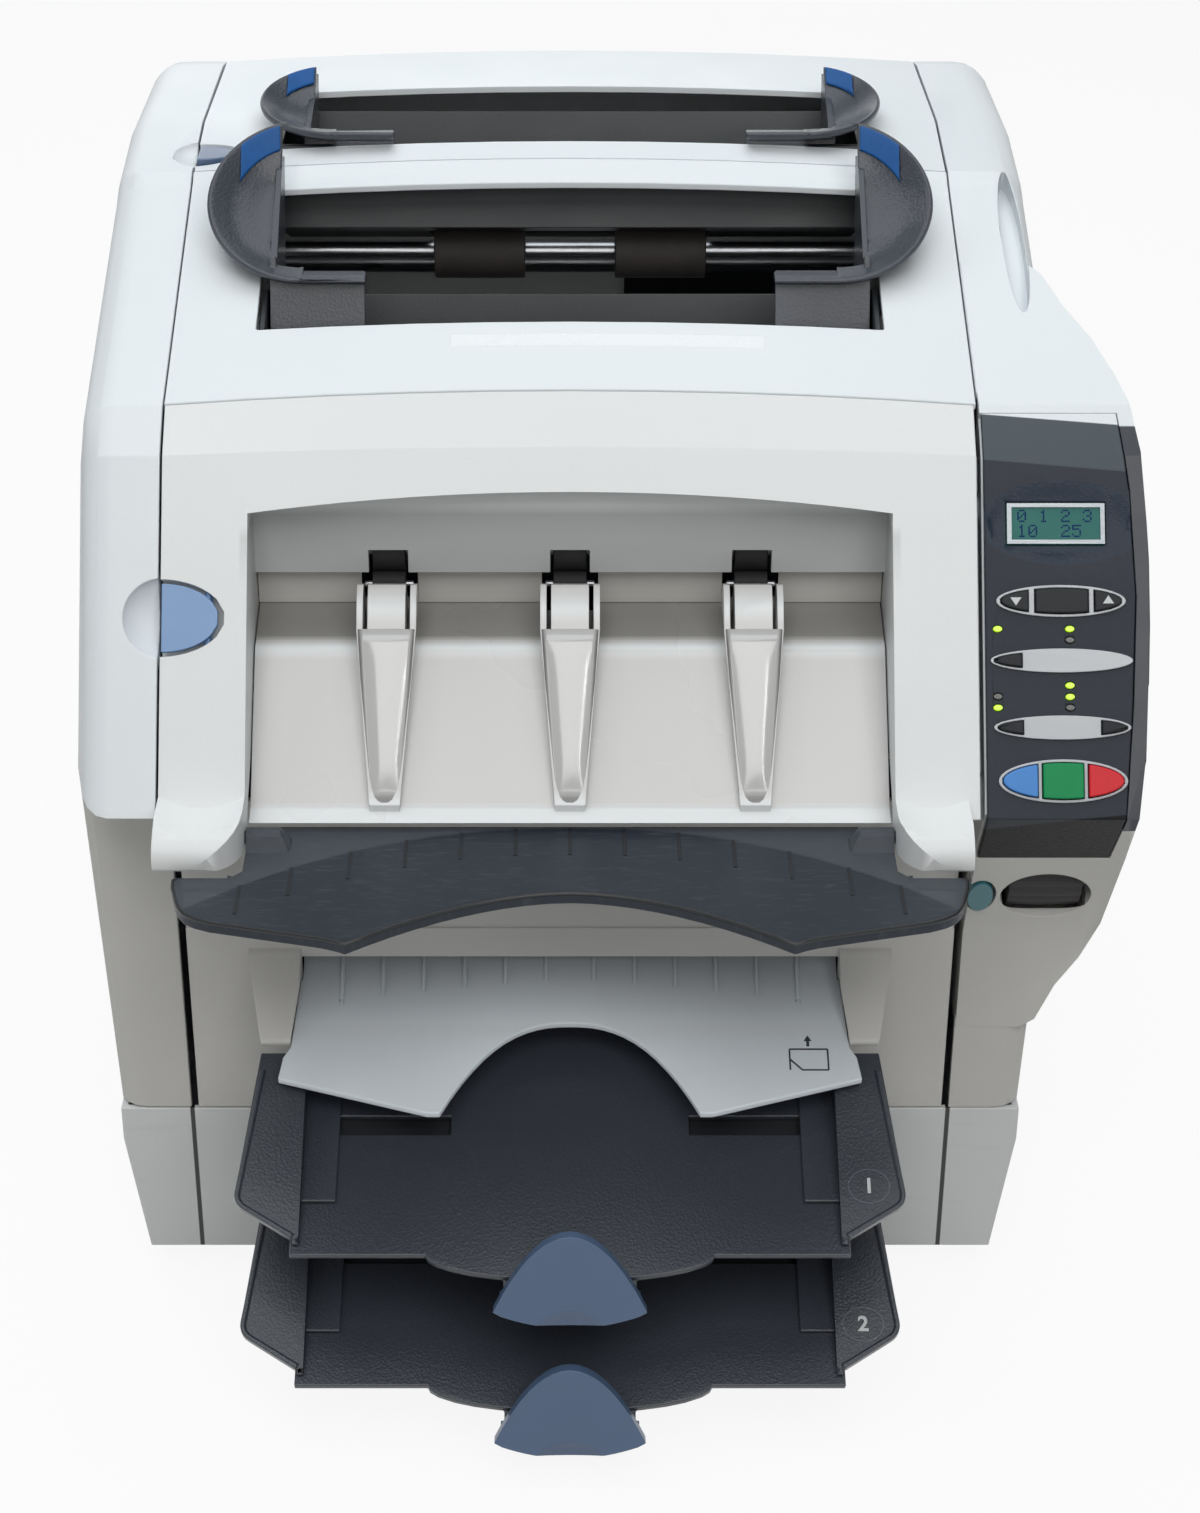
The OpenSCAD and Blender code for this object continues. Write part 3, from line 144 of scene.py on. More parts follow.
class Finish:
    def __init__(self, name, **constants):
        self.material = bpy.data.materials.new(name)
        self.material.use_nodes = True
        self.tree = self.material.node_tree
        self.surface = self.tree.nodes["Principled BSDF"]
        for key, value in constants.items():
            self.surface.inputs[key.replace("_", " ")].default_value = value

    def put(self, socket, value):
        if isinstance(value, Sock):
            self.tree.links.new(value.socket, socket)
        else:
            socket.default_value = value

    def node(self, kind, settings=None, inputs=None, output=0):
        fresh = self.tree.nodes.new(kind)
        for key, value in (settings or {}).items():
            setattr(fresh, key, value)
        for key, value in (inputs or {}).items():
            self.put(fresh.inputs[key], value)
        return Sock(self, fresh.outputs[output])

    def place(self):
        return self.node("ShaderNodeTexCoord", output="Object")

    def axes(self):
        place = self.place()
        return [self.node("ShaderNodeSeparateXYZ", None, {0: place}, i) for i in range(3)]

    # Across, back and up in the machine's own measures
    def measures(self):
        return [(axis - zero) / mm for axis, zero in zip(self.axes(), machineZero)]

    # Up the slanted front and out of it
    def slope(self, back, high):
        cosine, sine = slopeSet["lean"]
        behind = back - slopeSet["y"]
        over = high - slopeSet["z"]
        return behind * cosine + over * sine, over * cosine - behind * sine

    def noise(self, scale, detail=2.0, stretch=None, rough=0.5):
        place = self.place()
        if stretch:
            place = self.node("ShaderNodeMapping", None, {"Vector": place, "Scale": stretch})
        return self.node("ShaderNodeTexNoise", None,
                         {"Vector": place, "Scale": scale, "Detail": detail, "Roughness": rough}, "Fac")

    def cells(self, scale):
        return self.node("ShaderNodeTexVoronoi", None, {"Vector": self.place(), "Scale": scale}, "Distance")

    def mix(self, amount, a, b):
        return self.node("ShaderNodeMix", {"data_type": "RGBA"}, {0: amount, 6: a, 7: b}, 2)

    def crease(self, reach):
        return 1 - self.node("ShaderNodeAmbientOcclusion", {"samples": 6}, {"Distance": reach}, "AO")

    # Dust and painted shade in the corners and creases, darkest where ambient occlusion is deepest
    def cornerShadeAndDust(self, tone, reach, amount, shadeAndDustTone):
        return self.mix((self.crease(reach) * amount).clamp(), tone, shadeAndDustTone)

    def edge(self, low, high):
        return self.node("ShaderNodeNewGeometry", None, None, "Pointiness").band(low, high)

    def bump(self, height, strength, distance):
        return self.node("ShaderNodeBump", None,
                         {"Height": height, "Strength": strength, "Distance": distance})

    def set(self, **sockets):
        for key, value in sockets.items():
            self.put(self.surface.inputs[key.replace("_", " ")], value)
        return self


white = colour(231, 237, 241)
warm = colour(232, 235, 236)
charcoal = colour(58, 63, 72)


# What all moulded plastics share: flow marks, fine grain, and dust with painted shade in the corners
# part: how much of a place has another tone, and that tone
def grained(f, base, spread, size=1500, shadeAndDust=0.25, fleck=0.03, grain=0.22, part=None):
    flow = f.noise(7.0, 3.0)
    fine = f.noise(size, 2.0)
    smear = f.noise(28.0, 4.0, (1, 1, 3))
    tone = f.mix(flow, tint(base, spread[0]), tint(base, spread[1]))
    if part:
        share, other = part
        tone = f.mix(share, tone, f.mix(flow, tint(other, spread[0]), tint(other, spread[1])))
    tone = f.mix(fine.band(0.35, 0.75) * (fleck * 2), tone, tint(base, 0.8))
    # dust and painted shade in the corners
    tone = f.cornerShadeAndDust(tone, 0.014, shadeAndDust, tint(base, 0.45))
    wear = (smear - 0.5) * 0.16 + (fine - 0.5) * 0.08
    return tone, wear, f.bump(fine + f.cells(size * 0.6) * 0.5, grain, 0.00012)


# Moulded plastic with rubbed edges
def moulded(name, base, rough=0.42, grain=0.25, size=1500, shadeAndDust=0.25, rub=0.1, coat=0.0, fleck=0.03,
            spec=0.5):
    f = Finish(name, Coat_Weight=coat, Coat_Roughness=0.12, Specular_IOR_Level=spec)
    tone, wear, relief = grained(f, base, (1 - fleck, 1 + fleck), size, shadeAndDust, fleck, grain)
    if rub:
        tone = f.mix(f.edge(0.53, 0.6) * rub, tone, tint(base, 1.5))
    return f.set(Base_Color=tone, Roughness=(wear + rough).clamp(0.05, 1), Normal=relief)


def brushed(name, base, rough=0.32):
    f = Finish(name, Metallic=1.0)
    line = f.noise(2200.0, 2.0, (0.02, 1, 1))
    cloud = f.noise(16.0, 3.0)
    tone = f.mix(cloud, tint(base, 0.86), tint(base, 1.06))
    tone = f.cornerShadeAndDust(tone, 0.01, 0.5, tint(base, 0.35))
    wear = (line - 0.5) * 0.25 + (cloud - 0.5) * 0.12
    return f.set(Base_Color=tone, Roughness=(wear + rough).clamp(0.08, 1), Normal=f.bump(line, 0.12, 0.00006))


def rubber(name, base, rough=0.75, size=900):
    f = Finish(name)
    grain = f.noise(size, 3.0)
    chalk = f.noise(45.0, 5.0, None, 0.7)
    tone = f.mix(chalk.band(0.45, 0.8) * 0.35, base, tint(base, 2.0))
    tone = f.cornerShadeAndDust(tone, 0.008, 0.4, tint(base, 0.5))
    return f.set(Base_Color=tone, Roughness=((chalk - 0.5) * 0.2 + rough).clamp(0.2, 1),
                 Normal=f.bump(grain, 0.35, 0.0002))


# A roller is rubber where it is thick and ground steel where it is thin
def rollerFinish(name, centre, thin, base):
    f = Finish(name)
    x, y, z = f.axes()
    off = ((y - centre.y) ** 2 + (z - centre.z) ** 2) ** 0.5
    sleeve = off > thin
    line = f.noise(1500.0, 2.0, (0.05, 1, 1))
    chalk = f.noise(60.0, 5.0, None, 0.7)
    steel = f.mix(chalk, colour(150, 152, 156), colour(196, 198, 202))
    skin = f.mix(chalk.band(0.4, 0.8) * 0.4, base, tint(base, 2.2))
    return f.set(Base_Color=f.mix(sleeve, steel, skin), Metallic=1 - sleeve,
                 Roughness=(sleeve * 0.42 + 0.3 + (line - 0.5) * 0.16).clamp(0.1, 1),
                 Normal=f.bump(line, 0.2, 0.0001))


# Smoked clear plastic of the stacker: behind the arc that its rear skirt makes it is painted paler, for the
# lit panel seen through it, and in front painted darker, for the shade beneath it; it is also clearer behind
# the arc
smokedSet = {"middle": -28.0, "fall": 0.00091, "bend": 2.22, "front": colour(40, 47, 57),
             "back": colour(72, 78, 86), "paleTone": colour(120, 128, 136)}


def smokedPlastic(name):
    f = Finish(name, Coat_Weight=0.1, Coat_Roughness=0.3, Specular_IOR_Level=0.28)
    across, back, high = f.measures()
    line = smokedSet["middle"] - abs(across) ** smokedSet["bend"] * smokedSet["fall"]
    behind = (back - line).band(-1.0, 0.6)
    rub = f.noise(120.0, 4.0, (1, 6, 1))
    # painted tones: paler behind the arc for the lit panel seen through, darker in front for the shade beneath
    tone = f.mix(behind, smokedSet["front"], smokedSet["back"])
    tone = f.mix(rub.band(0.55, 0.8) * 0.18, tone, smokedSet["paleTone"])
    return f.set(Base_Color=tone, Alpha=0.97 - behind * 0.22,
                 Roughness=((rub - 0.5) * 0.14 + 0.42).clamp(0.04, 1))


# Fascia: a pale band at the top, black at the foot, a bluer glossy oval round the display, its tone painted
# sheen in place of a dish that is not modelled, and above a sloping line the white of the cover; a line is x,
# t and its fall
fasciaSet = {"top": (162.3, 142.9, -0.0847), "foot": (160.5, -3.7, 0.0963), "cap": (162.3, 162.2, -0.0847),
             "dish": (194.5, 117.5, 33.0, 17.0)}


def fasciaFinish(name):
    f = Finish(name, Specular_IOR_Level=0.14)
    across, back, high = f.measures()
    up, proud = f.slope(back, high)

    def above(line, soft):
        x, t, fall = fasciaSet[line]
        return (up - ((across - x) * fall + t)).band(-soft, soft)

    cx, ct, hx, ht = fasciaSet["dish"]
    dish = (((across - cx) / hx) ** 2 + ((up - ct) / ht) ** 2).band(1.02, 0.98)
    grain = f.noise(1200.0, 2.0) + f.cells(700.0) * 0.7
    cloud = f.noise(12.0, 3.0)
    tone = f.mix(cloud, colour(50, 55, 63), colour(60, 65, 73))
    # painted sheen: the bluer oval stands in for the light on a dished face that is not modelled
    tone = f.mix(dish, tone, colour(44, 54, 68))
    tone = f.mix(above("top", 0.3), tone, colour(84, 92, 98))
    tone = f.mix(above("foot", -0.3), tone, colour(20, 21, 23))
    tone = f.cornerShadeAndDust(tone, 0.008, 0.4, colour(18, 19, 22))
    tone = f.mix(above("cap", 0.2), tone, white)
    return f.set(Base_Color=tone, Roughness=(0.42 - dish * 0.2 + (grain - 0.5) * 0.1).clamp(0.08, 1),
                 Normal=f.bump(grain, 0.45, 0.0002))


# Lamp lenses: lit ones glow, the three unlit ones stay dark
lampSet = {"unlit": [(196.8, 70.8), (196.6, 44.0), (168.2, 48.4)], "reach": 2.6, "lit": colour(196, 250, 10)}


def lampFinish(name):
    f = Finish(name, Coat_Weight=0.6, Emission_Strength=0.55, Roughness=0.18)
    x, y, z = f.axes()
    off = 0
    for across, up in lampSet["unlit"]:
        c = onFace(across, up, 0)
        off = off + (((x - c.x) ** 2 + (y - c.y) ** 2 + (z - c.z) ** 2) ** 0.5 < lampSet["reach"] * mm)
    off = off.clamp()
    depth = f.noise(500.0, 2.0)
    lit = f.mix(depth, lampSet["lit"], tint(lampSet["lit"], 0.8))
    dark = f.mix(depth, colour(22, 26, 24), colour(34, 38, 36))
    return f.set(Base_Color=f.mix(off, lit, dark), Emission_Color=f.mix(off, lit, (0, 0, 0, 1)))


def displayFinish(name):
    f = Finish(name, Specular_IOR_Level=0.15, Emission_Strength=0.06)
    cell = f.noise(900.0, 1.0)
    cloud = f.noise(60.0, 2.0)
    tone = f.mix(cloud, colour(46, 104, 100), colour(58, 118, 110))
    tone = f.mix(cell * 0.12, tone, colour(40, 90, 90))
    return f.set(Base_Color=tone, Emission_Color=tone, Roughness=(0.4 + (cell - 0.5) * 0.1).clamp(0.03, 1))


# Sheet trays and guides: heavily grained, the grain catches small sparks of light
def sparkling(name, base, rough=0.34):
    f = Finish(name, Coat_Weight=0.25, Coat_Roughness=0.18)
    grain = f.cells(850.0)
    fine = f.noise(1900.0, 2.0)
    cloud = f.noise(14.0, 3.0)
    tone = f.mix(cloud, tint(base, 0.9), tint(base, 1.1))
    tone = f.cornerShadeAndDust(tone, 0.012, 0.35, tint(base, 0.4))
    tone = f.mix(f.edge(0.53, 0.6) * 0.4, tone, tint(base, 2.0))
    return f.set(Base_Color=tone, Roughness=(rough + (cloud - 0.5) * 0.12).clamp(0.1, 1),
                 Normal=f.bump(grain + fine * 0.6, 0.55, 0.00022))


# Manual feed tray: painted shade at the mouth, and a painted highlight where it bends
manualSet = {"crease": -23.0, "bright": (7.0, 1.0), "mouth": (-20.0, 6.0), "paleTone": colour(232, 238, 240)}


def manualFinish(name, base):
    f = Finish(name, Coat_Weight=0.1)
    across, back, high = f.measures()
    bend = abs(back - manualSet["crease"]).band(*manualSet["bright"])
    fine = f.noise(1500.0, 2.0)
    drag = f.noise(40.0, 4.0, (1, 0.15, 1))
    tone = f.mix(drag, tint(base, 0.95), tint(base, 1.03))
    # painted highlight along the bend
    tone = f.mix(bend * 0.5, tone, manualSet["paleTone"])
    # painted shade in the mouth, under the lower front panel
    tone = f.mix(back.band(*manualSet["mouth"]) * 0.75, tone, tint(base, 0.45))
    tone = f.cornerShadeAndDust(tone, 0.014, 0.3, tint(base, 0.4))
    return f.set(Base_Color=tone, Roughness=(0.4 + (drag - 0.5) * 0.18).clamp(0.1, 1),
                 Normal=f.bump(fine, 0.2, 0.00012))


# Exit plate: glossy, with painted shade on the ledge below the rollers and a painted highlight along its
# rounded upper edge and its foot
exitSet = {"ledge": (31.0, 34.0), "ledgeTop": (297.0, 295.0), "rim": 26.5, "rimSide": (4.5, 0.5),
           "rimFoot": (280.0, 283.0), "foot": (-20.0, -23.0), "shade": colour(132, 130, 126)}


def exitFinish(name, base):
    f = Finish(name, Coat_Weight=0.3, Coat_Roughness=0.12)
    across, back, high = f.measures()
    ledge = back.band(*exitSet["ledge"]) * high.band(*exitSet["ledgeTop"])
    rim = abs(back - exitSet["rim"]).band(*exitSet["rimSide"]) * high.band(*exitSet["rimFoot"])
    foot = back.band(*exitSet["foot"])
    fine = f.noise(1700.0, 2.0)
    cloud = f.noise(9.0, 3.0)
    tone = f.mix(cloud, tint(base, 0.97), tint(base, 1.03))
    # painted highlight along the rounded upper edge and on the foot, which faces up
    tone = f.mix((rim * 0.6 + foot * 0.6).clamp(), tone, colour(240, 245, 248))
    # painted shade on the ledge, to match the shaded wall behind it
    tone = f.mix(ledge * 0.9, tone, exitSet["shade"])
    tone = f.cornerShadeAndDust(tone, 0.014, 0.35, tint(base, 0.4))
    return f.set(Base_Color=tone, Roughness=(0.28 + (cloud - 0.5) * 0.1).clamp(0.06, 1),
                 Normal=f.bump(fine, 0.12, 0.0001))


# Front cover: painted shade inside the recess, greyer than the rest
frontSet = {"deep": (14.0, 40.0), "side": (131.0, 130.0), "top": (338.0, 334.0), "shade": 0.62}


def frontFinish(name, base):
    f = Finish(name)
    across, back, high = f.measures()
    inside = back.band(*frontSet["deep"]) * abs(across).band(*frontSet["side"]) * high.band(*frontSet["top"])
    tone, wear, relief = grained(f, base, (0.98, 1.02))
    # painted shade inside the recess
    tone = f.mix(inside, tone, tint(base, frontSet["shade"]))
    return f.set(Base_Color=tone, Roughness=(wear + 0.42).clamp(0.05, 1), Normal=relief)


# Top cover: a bare label strip lies in front of the hopper
labelSet = {"x": (-48.6, 79.0), "y": (88.6, 96.4), "line": (0.5, 0.2), "tone": colour(240, 244, 245)}


def topFinish(name, base):
    f = Finish(name)
    across, back, high = f.measures()
    left, right = labelSet["x"]
    near, far = labelSet["y"]
    inside = (across - left).least(right - across).least(back - near).least(far - back)
    label = inside > 0
    outline = label * inside.band(*labelSet["line"])
    tone, wear, relief = grained(f, base, (0.97, 1.0))
    tone = f.mix(label * 0.5, tone, labelSet["tone"])
    tone = f.mix(outline * 0.35, tone, tint(base, 0.7))
    return f.set(Base_Color=tone, Roughness=(wear + 0.4 - label * 0.12).clamp(0.05, 1), Normal=relief)


# Base: the seams of the covers run on down its front
baseSet = {"seam": 162.3, "line": (1.1, 0.8), "front": 30.0, "gap": colour(40, 40, 42)}


def baseFinish(name, base):
    f = Finish(name)
    across, back, high = f.measures()
    seam = abs(abs(across) - baseSet["seam"]).band(*baseSet["line"]) * (back < baseSet["front"])
    flow = f.noise(7.0, 3.0)
    fine = f.noise(1500.0, 2.0)
    scuff = f.noise(60.0, 5.0, (0.3, 1, 3))
    tone = f.mix(flow, tint(base, 0.97), base)
    tone = f.mix(scuff.band(0.62, 0.8) * 0.2, tone, tint(base, 0.7))
    tone = f.cornerShadeAndDust(tone, 0.014, 0.25, tint(base, 0.45))
    tone = f.mix(seam, tone, baseSet["gap"])
    return f.set(Base_Color=tone, Roughness=(0.42 + (scuff - 0.5) * 0.16).clamp(0.05, 1),
                 Normal=f.bump(fine + f.cells(900.0) * 0.5, 0.22, 0.00012))


# Side covers: cool white above and behind, below the chin painted greyer and warmer for the shade there; the
# fascia's dark skin goes on round the pod's edges on the right one
sideSet = {"turn": (232.0, 246.0), "rear": (8.0, 70.0), "low": colour(214, 213, 209),
           "dark": colour(54, 58, 66), "right": (212.0, 212.6), "left": (163.2, 162.6),
           "skin": (-9.0, -8.6), "foot": (-9.0, -8.4), "head": (157.2, 156.6)}


def sideFinish(name, base, wraps=False):
    f = Finish(name)
    across, back, high = f.measures()
    above = (high.band(*sideSet["turn"]) + back.band(*sideSet["rear"])).clamp()
    # painted shade: the lower front takes a greyer, warmer tone
    tone, wear, relief = grained(f, base, (0.97, 1.0), part=(1 - above, sideSet["low"]))
    if wraps:
        up, proud = f.slope(back, high)
        beside = (across.band(*sideSet["right"]) + across.band(*sideSet["left"])).clamp()
        skin = beside * proud.band(*sideSet["skin"]) * up.band(*sideSet["foot"]) * up.band(*sideSet["head"])
        tone = f.mix(skin, tone, sideSet["dark"])
    return f.set(Base_Color=tone, Roughness=(wear + 0.4).clamp(0.05, 1), Normal=relief)


shellSet = {"grain": 0.22, "rub": 0.05}
leverSet = {"rough": 0.34, "grain": 0.2, "size": 1300, "shadeAndDust": 0.3}
keySet = {"rough": 0.34, "grain": 0.15, "rub": 0.2}

finishes = {
    "shell_white": moulded("shellWhite", white, rough=0.4, **shellSet),
    "shell_grey": moulded("shellGrey", warm, **shellSet),
    "charcoal": sparkling("charcoalGuides", charcoal),
    "dark_plastic": moulded("darkPlastic", colour(38, 42, 46), rough=0.45, grain=0.4, size=1200, shadeAndDust=0.3,
                            rub=0.3, fleck=0.06),
    "rubber": rubber("blackRubber", colour(30, 30, 32)),
    "grip_blue": rubber("gripBlue", colour(0, 80, 146), rough=0.6, size=700),
    "slate": moulded("slateLevers", colour(86, 108, 140), rub=0.25, coat=0.15, **leverSet),
    "teal": moulded("tealPaddle", colour(56, 120, 130), rub=0.25, coat=0.1, **leverSet),
    "smoked": smokedPlastic("smokedTray"),
    "frame_steel": brushed("frameSteel", colour(184, 186, 190)),
    "silver": moulded("silverLacquer", colour(178, 182, 188), rough=0.22, grain=0.08, size=1800, shadeAndDust=0.4,
                      rub=0.3, coat=0.6),
    "display": displayFinish("displayGlass"),
    "lamp": lampFinish("lampLens"),
    "button_dark": moulded("darkKeys", colour(34, 37, 42), rough=0.4, grain=0.2, shadeAndDust=0.3, rub=0.2, spec=0.2),
    "button_blue": moulded("blueKey", colour(76, 140, 214), spec=0.25, **keySet),
    "button_green": moulded("greenKey", colour(0, 142, 82), spec=0.2, **keySet),
    "button_red": moulded("redKey", colour(218, 36, 48), spec=0.25, **keySet),
}
special = {
    "control_fascia": fasciaFinish("fasciaFace"),
    # The manual tray's plastic is painted paler and bluer than the shell, for the light it catches
    "manual_feed_tray": manualFinish("manualTray", colour(236, 244, 251)),
    "exit_plate": exitFinish("exitPlate", colour(207, 207, 206)),
    # The lower front cover is painted a darker, warmer grey than the shell, the same painted shade as below
    # the side covers' chins
    "lower_front_cover": moulded("lowerFront", colour(214, 213, 210), shadeAndDust=0.3, **shellSet),
    "front_cover": frontFinish("frontShell", warm),
    "top_cover": topFinish("topShell", white),
    "base_pan": baseFinish("baseShell", warm),
    "left_side_cover": sideFinish("leftShell", white),
    "right_side_cover": sideFinish("rightShell", white, wraps=True),
    "cover_latch": moulded("latchBlue", colour(118, 154, 200), rub=0.2, coat=0.15, **leverSet),
}
nodeSlot = {s["node"]: s["material_slot"] for s in frame["record"]["subparts"]}
nodeBody = {n: b for b, ns in frame["record"]["behaviour"]["bodies"].items() for n in ns}
print("finishes:", len(finishes))


# Edges are rounded where their faces meet at more than the angle. Edges that run across, above the zone's
# height and in front of its depth, are rounded at the crease's angle already.
# Widths are in millimetres, angles in degrees, zones in the frame's metres.
roundSet = {"weld": 2e-6, "flat": 0.5, "crease": 5.0, "straight": 0.9, "turn": 150.0, "room": 2.2,
            "least": 0.1, "stray": 0.00036}
edgeSet = {"width": 0.6, "angle": 33.0, "zone": (9.0, 0.0)}
edgeChanges = {
    "manual_feed_tray": {"angle": 60.0},
    "front_cover": {"zone": (0.32, 1.0)},
    "left_side_cover": {"zone": (0.25, 0.08)},
    "right_side_cover": {"zone": (0.25, 0.08)},
    "top_cover": {"zone": (0.3, 0.08)},
    "exit_idlers": {"width": 0.4},
    "exit_shaft": {"width": 0.4},
    "inner_frame": {"width": 0.4},
    "stacker_tray": {"width": 0.5},
    "button_surrounds": {"width": 0.3},
    "display_panel": {"width": 0.3},
    "indicator_lamps": {"width": 0.25},
    "fold_plates": {"width": 0.2},
}


# How far an edge may be rounded before the faces beside it run out
def roomBeside(edge, width):
    room = 1.0
    for loop in edge.link_loops:
        for beside in (loop.link_loop_next, loop.link_loop_prev):
            shared = [v for v in beside.edge.verts if v in edge.verts]
            if len(shared) != 1:
                continue
            along = edge.other_vert(shared[0]).co - shared[0].co
            away = beside.edge.other_vert(shared[0]).co - shared[0].co
            turn = along.angle(away, 0.0)
            if turn < math.radians(roundSet["turn"]):
                room = min(room, away.length * math.sin(turn) / (roundSet["room"] * width))
    return room


def isSharp(edge, angle, zone):
    run = edge.verts[1].co - edge.verts[0].co
    middle = (edge.verts[0].co + edge.verts[1].co) / 2
    across = abs(run.x) > roundSet["straight"] * run.length and middle.z > zone[0] and middle.y < zone[1]
    return edge.calc_face_angle(0) > math.radians(roundSet["crease"] if across else angle)


# The mesh of an object after its modifiers; the object itself is dropped
def settled(carrier):
    mesh = bpy.data.meshes.new_from_object(carrier.evaluated_get(bpy.context.evaluated_depsgraph_get()))
    bpy.data.objects.remove(carrier)
    return mesh


def rounded(mesh, width, angle, zone, dissolve):
    shape = bmesh.new()
    shape.from_mesh(mesh)
    bmesh.ops.remove_doubles(shape, verts=shape.verts, dist=roundSet["weld"])
    skin = BVHTree.FromBMesh(shape)
    if dissolve:
        bmesh.ops.dissolve_limit(shape, angle_limit=math.radians(roundSet["flat"]), verts=shape.verts,
                                 edges=shape.edges)
    share = shape.edges.layers.float.new("bevel_weight_edge")
    for edge in shape.edges:
        if len(edge.link_faces) == 2 and isSharp(edge, angle, zone):
            room = roomBeside(edge, width)
            edge[share] = room if room > roundSet["least"] else 0
    for face in shape.faces:
        face.smooth = True
    work = bpy.data.meshes.new("rounding")
    shape.to_mesh(work)
    shape.free()
    carrier = bpy.data.objects.new("rounding", work)
    scene.collection.objects.link(carrier)
    rounding = carrier.modifiers.new("rounding", "BEVEL")
    rounding.limit_method = "WEIGHT"
    rounding.width = width
    rounding.segments = 2
    rounding.use_clamp_overlap = False
    even = carrier.modifiers.new("even", "WEIGHTED_NORMAL")
    even.mode = "FACE_AREA"
    even.weight = 60
    plain = settled(carrier)
    for point in plain.vertices:  # corners that overshoot go back to the solid's skin
        near = skin.find_nearest(point.co)
        if near[3] > width * 0.5:
            point.co = near[0]
    return plain, farthest(plain, skin)


# How far the faces of a mesh stray from the solid's skin
def farthest(mesh, skin):
    mesh.calc_loop_triangles()
    off = 0.0
    for t in mesh.loop_triangles:
        corners = [mesh.vertices[i].co for i in t.vertices]
        middle = (corners[0] + corners[1] + corners[2]) / 3
        for point in [middle] + [(c + middle) / 2 for c in corners]:
            off = max(off, skin.find_nearest(point)[3])
    return off


# Puts a copy of a CAD node in its place with rounded edges and even normals. Where the rounding strays from
# the solid it is tried again, with all of the solid's own faces and then narrower, and the closest is taken.
def dress(node, finish, width, angle, zone):
    best = None
    for share, dissolve in ((1.0, True), (1.0, False), (0.5, True), (0.5, False)):
        plain, off = rounded(frame["nodes"][node].data, width * share * mm, angle, zone, dissolve)
        if best is None or off < best[1]:
            best = (plain, off)
        if off < roundSet["stray"]:
            break
    plain = best[0]
    plain.name = node
    piece = bpy.data.objects.new(node + "_made", plain)
    scene.collection.objects.link(piece)
    plain.materials.clear()
    plain.materials.append(finish.material)
    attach(piece, nodeBody[node])
    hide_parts(node)
    return piece


# Axles: where they run, how far out the bare steel reaches, and the tone of the rubber on it
gripBlack = colour(28, 28, 30)
foldGrey = colour(40, 40, 43)
feedBrown = colour(52, 48, 46)
axles = {
    "exit_idlers": (at(0, 50.974, 301.474), 2.0, gripBlack),
    "exit_shaft": (at(0, 62.5, 313), 6.0, gripBlack),
    "fold_roller_upper": (at(0, 175, 254.4), 6.0, foldGrey),
    "fold_roller_lower": (at(0, 175, 222), 6.0, foldGrey),
    "upper_feed_roller": (at(0, 130, 180.4), 6.0, feedBrown),
    "lower_feed_roller": (at(0, 121, 120.4), 6.0, feedBrown),
    "envelope_feed_roller": (at(0, 104.428, 310.776), 6.0, feedBrown),
    "insert_feed_roller": (at(0, 229.062, 377.356), 6.0, feedBrown),
    "hand_wheel": (at(0, 12.758, 199.37), 6.0, colour(40, 38, 38)),
}
made = {}
for node in frame["nodes"]:
    finish = special.get(node, finishes[nodeSlot[node]])
    if node in axles:
        centre, thin, skin = axles[node]
        finish = rollerFinish(node + "Finish", centre, thin * mm, skin)
    made[node] = dress(node, finish, **{**edgeSet, **edgeChanges.get(node, {})})
print("nodes dressed:", len(made))


def keep(name, mesh, finish, body):
    if finish:
        mesh.materials.clear()
        mesh.materials.append(finish.material)
    mesh.name = name
    piece = bpy.data.objects.new(name, mesh)
    scene.collection.objects.link(piece)
    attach(piece, body)
    made[name] = piece
    return piece


# Repeats: a template set on points that carry their own turn and size

def repeatTree():
    tree = bpy.data.node_groups.new("repeatOnPoints", "GeometryNodeTree")
    tree.interface.new_socket("Geometry", in_out="INPUT", socket_type="NodeSocketGeometry")
    tree.interface.new_socket("Template", in_out="INPUT", socket_type="NodeSocketObject")
    tree.interface.new_socket("Finish", in_out="INPUT", socket_type="NodeSocketMaterial")
    tree.interface.new_socket("Geometry", in_out="OUTPUT", socket_type="NodeSocketGeometry")
    nodes = tree.nodes
    source = nodes.new("NodeGroupInput")
    points = nodes.new("GeometryNodeMeshToPoints")
    template = nodes.new("GeometryNodeObjectInfo")
    turn = nodes.new("GeometryNodeInputNamedAttribute")
    grow = nodes.new("GeometryNodeInputNamedAttribute")
    for reader, title in ((turn, "turn"), (grow, "grow")):
        reader.data_type = "FLOAT_VECTOR"
        reader.inputs["Name"].default_value = title
    spread = nodes.new("GeometryNodeInstanceOnPoints")
    solid = nodes.new("GeometryNodeRealizeInstances")
    coat = nodes.new("GeometryNodeSetMaterial")
    sink = nodes.new("NodeGroupOutput")
    for a, b in ((source.outputs["Geometry"], points.inputs[0]),
                 (source.outputs["Template"], template.inputs[0]),
                 (points.outputs[0], spread.inputs["Points"]),
                 (template.outputs["Geometry"], spread.inputs["Instance"]),
                 (turn.outputs[0], spread.inputs["Rotation"]),
                 (grow.outputs[0], spread.inputs["Scale"]),
                 (spread.outputs[0], solid.inputs[0]),
                 (solid.outputs[0], coat.inputs[0]),
                 (source.outputs["Finish"], coat.inputs["Material"]),
                 (coat.outputs[0], sink.inputs[0])):
        tree.links.new(a, b)
    return tree


repeats = repeatTree()


